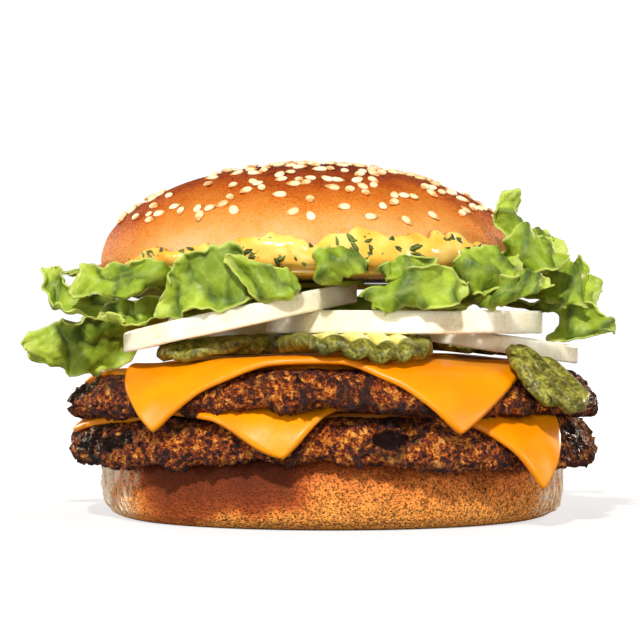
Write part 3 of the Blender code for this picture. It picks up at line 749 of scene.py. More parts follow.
@dataclass(frozen=True)
class SesameHull(Finish):
    """Hulled sesame, lightly toasted: cream with a dry satin skin, golden at the pointed end."""

    def paint(self, tree: bpy.types.NodeTree, place: Socket) -> dict:
        """Cream to gold by the tip mark, each seed a little lighter or darker than the next.

        Args:
            tree: the material's node tree.
            place: each point's coordinates in the object.

        Returns:
            The sockets that drive the shader, by its input.
        """
        tip = add(tree, "Attribute", {}, 2, attribute_name="tip")
        patch = add(tree, "TexNoise", {"Vector": place, "Scale": per(5.0), "Detail": 2.0})
        tone = add(tree, "Math", {0: patch, 1: 0.9, 2: tip}, operation="MULTIPLY_ADD")
        colour = add(tree, "ValToRGB", {0: tone}, stops=((0.25, "#F6E4BC"), (0.7, "#EAC68C"),
                                                         (1.0, "#CE9454")))
        # The hull's own grain, about 0.1 mm, is too fine to show and is drawn at 0.5 mm
        grain = add(tree, "TexNoise", {"Vector": place, "Scale": per(0.5), "Detail": 2.0})
        bump = add(tree, "Bump", {"Height": grain, "Strength": 0.3, "Distance": 0.08 * MM})
        return {"Base Color": colour, "Normal": bump}


@dataclass(frozen=True)
class ChoppedHerb(Finish):
    """Chopped green herb, wilted in oil: dark, soft and wet."""

    def paint(self, tree: bpy.types.NodeTree, place: Socket) -> dict:
        """Two dark greens, fleck by fleck.

        Args:
            tree: the material's node tree.
            place: each point's coordinates in the object.

        Returns:
            The sockets that drive the shader, by its input.
        """
        patch = add(tree, "TexNoise", {"Vector": place, "Scale": per(3.0), "Detail": 1.0})
        colour = add(tree, "ValToRGB", {0: patch}, stops=((0.35, "#2A380E"), (0.65, "#66742A")))
        return {"Base Color": colour}


CROWN_CRUST = Crust("baked_bun_crust", 0.55, ior=1.22, subsurface=0.05, depth=1.5, low=CROWN_BASE,
                    high=CROWN_HEIGHT, mottle=1.1, grain=0.24, relief=0.25,
                    stops=((0.0, "#E2B48E"), (0.14, "#DEAC7C"), (0.36, "#D4964C"), (0.58, "#CC7420"),
                           (0.77, "#AC460B"), (0.97, "#621E04")))
# The heel darkens towards its top: painted shade under the patties' overhang
HEEL_CRUST = Crust("baked_heel_crust", 0.75, ior=1.3, low=0.0, high=28.0,
                   stops=((0.0, "#E69C48"), (0.24, "#E28C3A"), (0.42, "#D67630"), (0.58, "#A24A1A"),
                          (0.8, "#6E2E0E"), (1.0, "#561E0A")),
                   pitch=0.54, open_pores=0.9, mottle=1.0, grain=0.8, relief=0.5)
BEEF = GrilledBeef("grilled_minced_beef", 0.18, ior=1.42)
CHEESE = MeltedCheese("melted_cheddar", 0.34, ior=1.38, subsurface=0.22, depth=2.5, reach=(1.0, 0.55, 0.08))
PICKLE = PickledCucumber("brined_cucumber", 0.3, ior=1.38, subsurface=0.15, depth=1.5, reach=(0.8, 1.0, 0.3))
ONION = RawOnion("sliced_white_onion", 0.25, ior=1.38, subsurface=0.5, depth=4.0, reach=(1.0, 0.92, 0.75))
LETTUCE = GreenLettuce("green_leaf_lettuce", 0.46, ior=1.35, subsurface=0.28, depth=1.5,
                       reach=(0.8, 1.0, 0.2))
SAUCE = HerbSauce("herb_mayonnaise", 0.16, subsurface=0.2, depth=2.0, reach=(1.0, 0.6, 0.2))
SEED = SesameHull("toasted_sesame_hull", 0.42, subsurface=0.1, depth=0.8)
HERB = ChoppedHerb("chopped_herb", 0.3)


# Bun

def crown_wall(height: Array) -> Array:
    """Radius of the crown's outer wall at this height: a flattened half ellipse over a rounded lower edge.

    Args:
        height: heights in millimetres.

    Returns:
        The radii.
    """
    up = np.clip((height - CROWN_WIDEST) / (CROWN_HEIGHT - CROWN_WIDEST), 0.0, 1.0)
    down = np.clip((CROWN_WIDEST - height) / (CROWN_WIDEST - CROWN_BASE), 0.0, 1.0)
    return CROWN_RADIUS * np.sqrt(1 - up * up) - 3.0 * (1 - np.sqrt(1 - down * down))


def crown_spot(lean: Array, around: Array) -> tuple[Array, Array]:
    """Points of the dome about the crown's middle and their normals, by the ellipse's own angle.

    Args:
        lean: angles from the top, in radians.
        around: directions, in radians.

    Returns:
        The points and their unit normals.
    """
    rise = CROWN_HEIGHT - CROWN_WIDEST
    flat = np.stack((np.cos(around), np.sin(around), np.zeros_like(around)), axis=-1)
    up = np.array((0.0, 0.0, 1.0))
    high = (CROWN_WIDEST + rise * np.cos(lean))[..., None]
    point = flat * CROWN_RADIUS * np.sin(lean)[..., None] + up * high
    normal = flat * (np.sin(lean) / CROWN_RADIUS)[..., None] + up * (np.cos(lean) / rise)[..., None]
    return point, normal / np.linalg.norm(normal, axis=-1, keepdims=True)


@dataclass
class Heel:
    """The bottom half of the bun, with the open pores and the wrinkles of its side."""

    columns: int = 760
    side_rows: int = 46

    def profile(self) -> Array:
        """(radius, height) from the middle of the top, down the side and back to the middle of the base.

        Returns:
            The points, one row each.
        """
        shape = np.array([(50.5, HEEL_HEIGHT), (53.2, HEEL_HEIGHT - 0.9), (54.6, HEEL_HEIGHT - 3.2),
                          (HEEL_RADIUS, 9.0), (54.8, 5.2), (53.7, 2.2), (51.8, 0.6), (49.6, 0.0)])
        run = run_of(shape)
        side = eased(walked(shape, run, np.linspace(0, run[-1], self.side_rows)), 3)
        flat = np.linspace(0, 1, 16, endpoint=False)[:, None]
        top = np.hstack((flat * side[0, 0], np.full_like(flat, side[0, 1])))
        base = np.hstack((flat * side[-1, 0], np.full_like(flat, side[-1, 1])))
        return np.vstack((top, side, base[::-1]))

    def build(self) -> None:
        """Makes the heel and replaces its solid."""
        grid = turned_grid(self.profile(), self.columns)
        radius = np.hypot(grid[..., 0], grid[..., 1])
        side = smooth(46.0, 51.0, radius) * smooth(0.0, 2.0, grid[..., 2])
        first, _ = cells(grid * (1, 1, 1.4), 1.5, 0.3)
        small, _ = cells(grid, 0.9, 0.8)
        # The pores, sunk into the side and painted dark by the pore mark as painted shade
        pore = smooth(0.42, 0.2, first) * smooth(-0.5, 0.3, swirl(grid, 9.0, 1.1))
        pore = pore + 0.5 * smooth(0.4, 0.2, small)
        wrinkle = swirl(grid * (1.0, 1.0, 0.3), 1.7, 2.0)
        # Pale wrinkled crust at the left and right ends, brightened as a painted rim highlight and darker in
        # its creases as painted shade
        ends = np.abs(grid[..., 0]) / HEEL_RADIUS + 0.05 * swirl(grid, 5.0, 2.6)
        pale = smooth(0.78, 0.96, ends) * side
        crease = 0.12 * wrinkle + 1.2 * pale * (np.abs(wrinkle) - 0.4)
        # Painted shadow: a darker patch at the left of the front, where the patties' shade falls on the heel;
        # it reaches lower at its left end
        hot = smooth(-48.0, -38.0, grid[..., 0]) * smooth(-2.0, -12.0, grid[..., 0]) * (grid[..., 1] < 0)
        lower = grid[..., 2] + 5.0 * smooth(-20.0, -32.0, grid[..., 0])
        hot = 0.47 * hot * smooth(0.5, 6.5, lower + 3.0 * swirl(grid, 9.0, 3.4) + 1.2 * swirl(grid, 2.5, 3.9))
        push = side * (0.35 * swirl(grid, 14.0, 0.7) + crease - 0.32 * np.clip(pore, 0, 1))
        grid[..., :2] *= (1 + push / np.maximum(radius, 1.0))[..., None]
        cut = smooth(51.5, 49.0, radius) * smooth(HEEL_HEIGHT - 1, HEEL_HEIGHT - 0.1, grid[..., 2])
        marks = {"pore": np.clip(pore, 0, 1) * side * 0.85, "cut": cut,
                 "pale": pale * smooth(0.04, 0.42, np.abs(wrinkle)), "bake": hot}
        add_piece("heel_crust", turned_body(grid, marks), HEEL_CRUST.make(), Slot.BREAD, "bun_heel")


@dataclass
class Crown:
    """The top half of the bun: a glossy dome with its seeds pressed into it."""

    columns: int = 360
    extra_seeds: int = 200

    def build(self) -> None:
        """Makes the dome and the seeds, which together replace the crown's solid."""
        lean = np.radians(np.concatenate((np.linspace(0, 84, 76), np.linspace(86, 90, 4))))
        rise = CROWN_HEIGHT - CROWN_WIDEST
        dome = np.stack((CROWN_RADIUS * np.sin(lean), CROWN_WIDEST + rise * np.cos(lean)), axis=-1)
        low = np.linspace(CROWN_WIDEST - 0.3, CROWN_BASE + 0.2, 8)
        edge = np.stack((crown_wall(low), low), axis=-1)
        flat = np.linspace(CROWN_RADIUS - 3.6, 0, 26)
        under = np.stack((flat, np.full_like(flat, CROWN_BASE)), axis=-1)
        grid = turned_grid(np.vstack((dome, edge, under)), self.columns)
        top = smooth(CROWN_BASE + 0.5, CROWN_BASE + 3, grid[..., 2])
        push = 0.25 * swirl(grid, 15.0, 0.4) + 0.1 * swirl(grid, 5.0, 1.3) + 0.04 * swirl(grid, 1.5, 2.2)
        grid += normals_of(grid, True) * (-push * top)[..., None]
        grid[0], grid[-1] = grid[0].mean(axis=0), grid[-1].mean(axis=0)
        cut = np.zeros(grid.shape[:2])
        cut[len(dome) + len(edge):] = 1.0
        # Painted shade: the crown is browner towards its left and right sides
        bake = 0.42 * smooth(0.5, 1.0, np.abs(grid[..., 0]) / CROWN_RADIUS)
        marks = {"cut": cut, "pore": np.zeros_like(cut), "pale": np.zeros_like(cut), "bake": bake}
        body = turned_body(grid + CROWN_CENTRE, marks)
        add_piece("crown_crust", body, CROWN_CRUST.make(), Slot.BREAD, "bun_crown")
        add_piece("sesame_seeds", self.seeds(), SEED.make(), Slot.BREAD)

    def places(self) -> Array:
        """(lean, around, turn, scale) of each seed: the solid's, then the ones scattered between them.

        Returns:
            One row for each seed.
        """
        draw = np.random.default_rng(7)
        rows = []
        for index in range(SEED_COUNT):
            share = (index + 0.5) / SEED_COUNT
            lean = math.radians(8 + 62 * share**0.62) + draw.uniform(-0.03, 0.03)
            around = index * math.radians(GOLDEN_ANGLE) + draw.uniform(-0.2, 0.2)
            rows.append((lean, around, draw.uniform(0, math.pi), draw.uniform(0.88, 1.12)))
        tries = 0
        while len(rows) < SEED_COUNT + self.extra_seeds and tries < 9000:
            tries += 1
            lean = math.radians(6 + 62 * draw.random() ** 0.8)
            around = draw.uniform(0, TAU)
            crowd = swirl(np.array([(40 * math.cos(around), 40 * math.sin(around), 60 * lean)]), 14.0, 3.0)[0]
            if draw.random() > 0.6 + 0.9 * crowd:
                continue
            spot = crown_spot(np.array(lean), np.array(around))[0]
            near = min(np.linalg.norm(spot - crown_spot(np.array(r[0]), np.array(r[1]))[0]) for r in rows)
            if near > 2.3:
                rows.append((lean, around, draw.uniform(0, TAU), draw.uniform(0.85, 1.12)))
        return np.array(rows)

    def seeds(self) -> Body:
        """Every seed as a teardrop lying on the dome, in one body.

        Returns:
            The body of all seeds.
        """
        bend, turn = np.meshgrid(np.linspace(0, math.pi, 10), np.linspace(0, TAU, 14, endpoint=False),
                                 indexing="ij")
        x = np.cos(bend)
        wide = np.sin(bend) * (0.66 - 0.16 * x)
        shape = np.stack((x + 0.1 * (x > 0) * x**3, wide * np.cos(turn), 0.55 * wide * np.sin(turn)), axis=-1)
        tip = np.clip((x - 0.35) / 0.65, 0, 1) * np.ones_like(turn)
        pattern = turned_body(shape, {"tip": tip})
        points, faces, tips = [], [], []
        draw = np.random.default_rng(23)
        for lean, around, turned, scale in self.places():
            spot, normal = crown_spot(np.array(lean), np.array(around))
            side = np.cross(normal, (0.0, 0.0, 1.0) if normal[2] < 0.99 else (1.0, 0.0, 0.0))
            side /= np.linalg.norm(side)
            ahead = np.cross(normal, side)
            first = side * math.cos(turned) + ahead * math.sin(turned)
            tilt = draw.uniform(-0.16, 0.16)
            first = first * math.cos(tilt) + normal * math.sin(tilt)
            second = np.cross(normal, first)
            second /= np.linalg.norm(second)
            third = np.cross(first, second)
            frame = np.stack((first, second, third)) * SEED_LENGTH / 2 * scale
            start = sum(len(p) for p in points)
            points.append(pattern.points @ frame + spot + normal * 0.3 + CROWN_CENTRE)
            faces += [tuple(start + k for k in face) for face in pattern.faces]
            tips.append(pattern.marks["tip"] + draw.uniform(-0.25, 0.3))
        return Body(np.vstack(points), faces, {"tip": np.concatenate(tips)})


# Patties

@dataclass
class Patty:
    """A grilled beef patty: a thin core with a thicker, craggy rim that droops past what it lies on."""

    name: str
    base: float
    core: float
    radius: float
    centre_x: float
    hang: float
    thinning: float
    sunk: float
    droop_left: float
    droop_right: float
    droop_front: float
    seed: float
    worn: float = 0.0
    scorched: tuple = ()
    columns: int = 640

    def outline(self, angle: Array) -> Array:
        """Radius of the rim in this direction, uneven as pressed mince is.

        Args:
            angle: directions, in radians.

        Returns:
            The radii.
        """
        lobes = 0.8 * np.sin(2 * angle + self.seed) + 0.7 * np.sin(3 * angle + 2 * self.seed)
        lobes = lobes + 0.6 * np.sin(5 * angle + 3 * self.seed) + 0.4 * np.sin(9 * angle + self.seed)
        return self.radius + lobes

    def droop(self, radius: Array, angle: Array) -> Array:
        """How far the rim has sunk at this place.

        Args:
            radius: distances from the patty's middle.
            angle: directions, in radians.

        Returns:
            The drops.
        """
        side = np.maximum(0.0, np.cos(angle)) ** 1.5 * self.droop_right
        side = side + np.maximum(0.0, -np.cos(angle)) ** 1.5 * self.droop_left
        side = side + np.abs(np.sin(angle)) * self.droop_front
        return side * smooth(54.0, 63.0, radius)

    def thinner(self, radius: Array, angle: Array, amount: Array) -> Array:
        """How much this thinning lowers a face at this place: only on the left, and not in the middle."""
        return amount * np.maximum(0.0, -np.cos(angle)) ** 1.5 * smooth(*PATTY_THINS, radius)

    def worn_down(self, radius: Array, angle: Array) -> Array:
        """How much lower the upper face is on the right, where the mince was pressed thinner."""
        return self.worn * np.maximum(0.0, np.cos(angle)) ** 1.5 * smooth(*PATTY_THINS, radius)

    def top(self, radius: Array, angle: Array) -> Array:
        """Height of the upper face, with the raised lip that runs round inside the rim.

        Args:
            radius: distances from the patty's middle.
            angle: directions, in radians.

        Returns:
            The heights.
        """
        lip = (RIM_RISE + 0.2) * smooth(0.72, 0.88, radius / self.outline(angle))
        low = self.thinner(radius, angle, self.thinning + self.sunk) + self.worn_down(radius, angle)
        return self.base + self.core + lip - low - self.droop(radius, angle)

    def profile(self) -> Array:
        """(share of the radius, height) from the middle of the top, round the rim and back under.

        Returns:
            The points, one row each.
        """
        half = self.core / 2
        up, down = half + RIM_RISE, half + self.hang
        shape = np.array(((0, half), (0.42, half), (0.6, half), (0.78, half), (0.88, up), (0.94, up * 0.92),
                          (0.98, up * 0.5), (1.0, -0.4), (0.99, -down * 0.65), (0.96, -down),
                          (0.925, -half - 0.3 * self.hang), (0.88, -half), (0.5, -half), (0, -half)))
        run = run_of(shape * (self.radius, 1))
        coarse = np.interp(np.linspace(0, 1, 24, endpoint=False), (0, 1), (0, run[4] - 3))
        fine = np.linspace(run[4] - 3, run[11] + 2, 44, endpoint=False)
        under = np.linspace(run[11] + 2, run[-1], 20)
        along = np.concatenate((coarse, fine, under))
        return eased(walked(shape, run, along), 2)

    def place(self) -> Array:
        """The smooth patty's points, before any crag.

        Returns:
            The grid of points.
        """
        line = self.profile()
        angle = round_angles(self.columns)
        share, z = line[:, :1], line[:, 1:]
        radius = share * self.outline(angle)
        low = self.thinner(radius, angle, self.sunk + np.where(z > -0.5, self.thinning, 0.0))
        low = low + np.where(z > -0.5, self.worn_down(radius, angle), 0.0)
        height = self.base + self.core / 2 + z - low - self.droop(radius, angle)
        return about_z(radius, angle, height) + (self.centre_x, 0, 0)

    def build(self) -> None:
        """Makes the patty with lumps, torn cracks and charred patches, and replaces its solid."""
        grid = self.place()
        normal = -normals_of(grid, True)
        radius = np.hypot(grid[..., 0] - self.centre_x, grid[..., 1])
        angle = np.arctan2(grid[..., 1], grid[..., 0] - self.centre_x)
        rim = smooth(0.86, 0.95, radius / self.outline(angle))
        warped = grid + 1.2 * np.stack([swirl(grid, 5.0, self.seed + k) for k in range(3)], axis=-1)
        lump, beyond = cells(warped, 8.0, self.seed)
        nub, by = cells(warped, 2.6, self.seed + 1)
        crumb, _ = cells(warped, 1.3, self.seed + 2)
        crack = smooth(0.16, 0.02, beyond - lump) * smooth(-0.4, 0.3, swirl(grid, 11.0, self.seed))
        pit = smooth(0.14, 0.02, by - nub)
        push = 1.3 * (0.5 - lump) + 1.1 * (0.4 - nub) + 0.7 * (0.4 - crumb)
        push += (0.9 * swirl(grid, 9.0, self.seed + 3) + 0.5 * swirl(grid, 2.0, self.seed + 4)
                 - 0.9 * crack - 0.4 * pit)
        push = rim * np.clip(push, -2.0, 1.15) + (1 - rim) * np.clip(0.5 * push - 0.5, -1.2, 0.0)
        grid = grid + normal * push[..., None]
        grid[0], grid[-1] = grid[0].mean(axis=0), grid[-1].mean(axis=0)
        char = (0.2 * smooth(0.1, 0.9, swirl(grid, 13.0, self.seed + 5))
                + 0.12 * swirl(grid, 4.0, self.seed + 6))
        for degrees, height, reach in self.scorched:
            turn = math.radians(degrees - 90)
            spot = np.array((self.centre_x + self.radius * math.cos(turn),
                             self.radius * math.sin(turn), height))
            away = np.linalg.norm((grid - spot) * (0.8, 0.8, 1.2), axis=-1)
            away = away * (1 + 0.5 * swirl(grid, 4.5, float(degrees)) + 0.3 * swirl(grid, 1.8, float(height)))
            char += 0.7 * smooth(reach, 0.3 * reach, away)
        # Painted light: the rise mark is higher on the raised nubs and crumbs, which the beef paints lighter
        rise = 0.5 + 0.7 * (0.4 - nub) + 0.9 * (0.4 - crumb) + 0.25 * swirl(grid, 1.1, self.seed)
        # Painted shade: the crack mark darkens the cracks and pits
        marks = {"crack": np.clip(0.8 * crack + 0.3 * pit, 0, 1), "char": char,
                 "rise": np.clip(rise, 0, 1)}
        piece = self.name.replace("patty", "beef")
        add_piece(piece, turned_body(grid, marks), BEEF.make(), Slot.BEEF, self.name)


LOWER_PATTY = Patty("patty_lower", LOWER_PATTY_BASE, LOWER_PATTY_CORE, radius=61.6, centre_x=0.2, hang=1.7,
                    thinning=1.3, sunk=0.0, droop_left=2.5, droop_right=3.5, droop_front=1.2, seed=2.2,
                    scorched=((-68, 19, 11), (-52, 20, 8), (12, 21, 6), (66, 19, 9), (120, 20, 10),
                              (200, 20, 9)))
UPPER_PATTY = Patty("patty_upper", UPPER_PATTY_BASE, UPPER_PATTY_CORE, radius=63.0, centre_x=1.3, hang=0.3,
                    thinning=1.3, sunk=1.3, droop_left=2.5, droop_right=3.6, droop_front=1.2, seed=5.3,
                    worn=1.6, scorched=((-74, 31, 9), (-8, 36, 6), (70, 30, 10), (44, 31, 5),
                                        (150, 33, 9), (230, 32, 9)))


# What lies on the patties

def over_patty(patty: Patty, x: Array, y: Array, lift: Array, steepest: float = STEEPEST) -> Array:
    """Where flat points end up on the patty's top, or rolled down over its rim.

    Args:
        patty: what the piece lies on.
        x: across, from the patty's middle, as it would lie flat.
        y: along, likewise.
        lift: height above the patty's face.
        steepest: degrees at which a stiff piece stops rolling and runs on straight.

    Returns:
        The points.
    """
    reach, angle = np.hypot(x, y), np.arctan2(y, x)
    start = patty.outline(angle) - PATTY_BEND
    inner = np.minimum(reach, start)
    tilt = np.arctan(patty.top(inner - 0.5, angle) - patty.top(inner + 0.5, angle))
    bend = (PATTY_BEND + RIM_CLEAR) / (math.sin(math.radians(STEEPEST)) - np.sin(tilt)) + lift
    past = np.maximum(0.0, reach - start)
    steep = np.minimum(np.maximum(tilt, math.radians(steepest)), tilt + past / bend)
    straight = past - bend * (steep - tilt)
    radius = inner + lift * np.sin(tilt) + bend * (np.sin(steep) - np.sin(tilt)) + straight * np.cos(steep)
    height = patty.top(inner, angle) + lift * np.cos(tilt)
    height = height - bend * (np.cos(tilt) - np.cos(steep)) - straight * np.sin(steep)
    return about_z(radius, angle, height) + (patty.centre_x, 0, 0)


@dataclass
class Slice:
    """A slice of cheese laid on a patty, given flat by its four corners and the middles of its sides."""

    name: str
    patty: Patty
    level: int
    corners: tuple
    middles: tuple
    count: int = 96

    def past_edge(self, x: Array, y: Array) -> Array:
        """Distance from each point to the flat slice's edge, negative inside it.

        Args:
            x: across, from the patty's middle, as it would lie flat.
            y: along, likewise.

        Returns:
            The distances.
        """
        ring = [point for pair in zip(self.corners, self.middles) for point in pair]
        nearest, inside = np.full(x.shape, 1e9), np.zeros(x.shape, bool)
        for (ax, ay), (bx, by) in zip(ring, ring[1:] + ring[:1]):
            dx, dy = bx - ax, by - ay
            share = np.clip(((x - ax) * dx + (y - ay) * dy) / (dx * dx + dy * dy), 0.0, 1.0)
            nearest = np.minimum(nearest, np.hypot(x - ax - share * dx, y - ay - share * dy))
            inside ^= ((ay > y) != (by > y)) & (x < ax + (y - ay) * dx / (dy or 1e-9))
        return np.where(inside, -nearest, nearest)

    def flat(self, u: Array, v: Array) -> tuple[Array, Array]:
        """The flat slice's points at u and v from -1 to 1: a patch through its corners and middles.

        Args:
            u: across, from -1 to 1.
            v: along, from -1 to 1.

        Returns:
            The points' x and y.
        """
        p, m = self.corners, self.middles
        centre = [sum(q[i] for q in m) / 4 for i in (0, 1)]
        rows = ((p[0], m[0], p[1]), (m[3], centre, m[1]), (p[3], m[2], p[2]))
        across = (u * (u - 1) / 2, 1 - u * u, u * (u + 1) / 2)
        along = (v * (v - 1) / 2, 1 - v * v, v * (v + 1) / 2)
        x, y = (sum(along[r] * across[c] * rows[r][c][i] for r in range(3) for c in range(3)) for i in (0, 1))
        return x, y

    def build(self) -> None:
        """Makes the draped slice, and replaces its solid."""
        line = np.linspace(-1, 1, self.count)
        line = np.sign(line) * np.abs(line) ** 0.75
        u, v = np.meshgrid(line, line)
        corner = 1 - 0.03 * (u * v) ** 8
        x, y = self.flat(u * corner, v * corner)
        lift = 1.5 * GAP + SLICE_THICKNESS / 2 + slice_lift(self.patty, self.level, x, y)
        grid = over_patty(self.patty, x, y, lift)
        hangs = smooth(self.patty.radius - 4, self.patty.radius + 6, np.hypot(x, y))
        grid += normals_of(grid) * (0.45 * swirl(grid, 9.0, 1.7 + self.level) * (0.25 + hangs))[..., None]
        thick = np.full(u.shape, SLICE_THICKNESS)
        name = self.name.replace("cheese", "cheddar")
        add_piece(name, slab_body(grid, thick, {}), CHEESE.make(), Slot.CHEESE, self.name)


SLICES = (
    Slice("cheese_lower_under", LOWER_PATTY, 0, ((54.2, -56.5), (46, 32), (-34, 38), (-28, -46)),
          ((48, -10.5), (6, 37), (-34, -4), (10, -49))),
    Slice("cheese_lower_over", LOWER_PATTY, 1, ((-12.2, -68), (51.7, -5.4), (1.7, 51), (-63, -11)),
          ((20, -37), (28, 24), (-31, 21), (-39, -41.5))),
    Slice("cheese_upper_under", UPPER_PATTY, 0, ((-62.5, 5), (-6, -54), (54, -4), (-4, 58)),
          ((-34, -25), (24, -29), (25, 27), (-33, 32))),
    Slice("cheese_upper_over", UPPER_PATTY, 1, ((-46.8, -58.5), (29.6, -71), (38, 20), (-35, 33)),
          ((-7, -57.5), (43.5, -21.5), (4, 29), (-46, -10.5))),
)


def slice_lift(patty: Patty, level: int, x: Array, y: Array, fade: tuple = SLICE_FADE) -> Array:
    """How much the slices below this level lift what lies here, fading out past each slice's edges.

    Args:
        patty: the patty that carries the slices.
        level: how many slices may lie below.
        x: across, from the patty's middle, as it would lie flat.
        y: along, likewise.
        fade: distances past a slice's edge between which its lift fades.

    Returns:
        The lift at each point.
    """
    lift = np.zeros_like(x)
    for under in SLICES:
        if under.patty is patty and under.level < level:
            lift += (SLICE_THICKNESS + GAP) * (1 - smooth(*fade, under.past_edge(x, y)))
    return lift


@dataclass
class Pickle:
    """A crinkle-cut pickle chip, lying on the upper patty's cheese and following it over the rim."""

    name: str
    centre: tuple
    radius: float
    turn: float
    steepest: float
    fade: tuple = SLICE_FADE
    peel: float = 0.84
    count: int = 96

    def build(self) -> None:
        """Makes the chip with its crinkles, warty skin and soft flesh, and replaces its solid."""
        line = np.linspace(-1, 1, self.count)
        u, v = np.meshgrid(line, line)
        chord = np.sqrt(np.maximum(0.03, 1 - u * u))
        along, side = u * self.radius, v * chord * self.radius
        turn = math.radians(self.turn)
        x = along * math.cos(turn) - side * math.sin(turn) + self.centre[0]
        y = along * math.sin(turn) + side * math.cos(turn) + self.centre[1]
        wave = np.sin(TAU * along / CRINKLE_PITCH)
        lift = 3.7 * GAP + PICKLE_THICKNESS / 2 + CRINKLE_DEPTH
        lift = lift + slice_lift(UPPER_PATTY, 2, x, y, self.fade)
        grid = over_patty(UPPER_PATTY, x, y, lift + CRINKLE_DEPTH * wave, self.steepest)
        rim = np.maximum(np.abs(v), np.hypot(along, side) / self.radius)
        bumps = 0.12 * swirl(grid, 1.6, 4.0) * smooth(0.7, 1.0, rim)
        thick = PICKLE_THICKNESS * (1 - 0.12 * smooth(0.6, 0.0, rim)) + bumps
        # The ridge mark lights the crinkles' crests as a painted highlight
        marks = {"ridge": 0.35 * wave + 0.1, "skin": smooth(self.peel - 0.04, self.peel, rim)}
        name = self.name.replace("pickle", "cucumber")
        add_piece(name, slab_body(grid, thick, marks), PICKLE.make(), Slot.PICKLE, self.name)


@dataclass
class Onion:
    """An open onion ring, cut as a band and tilted by slopes along X and Y."""

    name: str
    centre: tuple
    radius: float
    height: float
    start: float
    sweep: float
    slope: tuple
    columns: int = 240

    def section(self) -> Array:
        """(radius, height) round the band's section, its corners softened.

        Returns:
            The points, one row each.
        """
        wall, tall = 3.2, self.height / 2
        shape = np.array([(self.radius, tall * 0.94), (self.radius + wall * 0.9, tall),
                          (self.radius + wall, tall * 0.84), (self.radius + wall, -tall * 0.84),
                          (self.radius + wall * 0.9, -tall), (self.radius + 0.2, -tall * 0.94)])
        ring = np.vstack((shape, shape[:1]))
        run = run_of(ring)
        return walked(ring, run, np.linspace(0, run[-1], 60, endpoint=False))

    def build(self) -> None:
        """Makes the band with its faint growth ribs, and replaces its solid."""
        line = self.section()
        angle = np.radians(self.start + np.linspace(0, self.sweep, self.columns))[None, :]
        ends = np.clip(np.minimum(np.arange(self.columns), np.arange(self.columns)[::-1]) / 5, 0, 1)[None, :]
        middle = line.mean(axis=0)
        shrink = 0.55 + 0.45 * np.sqrt(1 - (1 - ends) ** 2)
        radius = middle[0] + (line[:, :1] - middle[0]) * shrink
        height = middle[1] + (line[:, 1:] - middle[1]) * shrink
        place = about_z(radius, angle, height)
        radius = radius + 0.25 * swirl(place, 12.0, 0.9) + 0.06 * swirl(place * (1, 1, 0.2), 1.6, 1.9)
        x, y = radius * np.cos(angle), radius * np.sin(angle)
        z = height + x * self.slope[0] + y * self.slope[1] + 0.2 * swirl(place, 15.0, 2.4)
        grid = np.stack((self.centre[0] + x, self.centre[1] + y, self.centre[2] + z), axis=-1)
        along = np.broadcast_to(angle * self.radius * MM, z.shape)
        name = self.name.replace("onion", "onion_band")
        add_piece(name, band_body(grid, {"along": along}), ONION.make(), Slot.ONION, self.name)


PICKLES = (
    Pickle("pickle_left", (-27.6, -34.0), 12.6, 80.0, 60.0, peel=0.6),
    Pickle("pickle_front", (3.5, -44.5), 17.0, 22.0, 60.0),
    # The right chip takes the dark skin colour all over: painted shade under the right onion band
    Pickle("pickle_right", (46.6, -42.4), 9.2, 48.0, 38.0, (0.3, 6.0), 0.0),
    Pickle("pickle_inner", (30.0, -13.5), 10.6, 35.0, 60.0, peel=0.5),
    Pickle("pickle_back", (-8.0, 40.0), 16.0, 20.0, 60.0),
)

ONIONS = (
    Onion("onion_left", (-21.3, -26.0, 47.1), 23.6, 4.8, 88.0, 279.0, (0.22, 0.0)),
    Onion("onion_front", (16.6, -19.0, 46.05), 28.8, 5.2, 160.0, 240.0, (0.0, 0.0)),
    Onion("onion_right", (31.8, -8.2, 42.2), 22.8, 4.2, 236.0, 170.0, (-0.151, 0.0)),
    Onion("onion_back", (-12.0, 28.0, 45.6), 26.0, 4.8, 12.0, 190.0, (0.02, -0.03)),
)


# Lettuce

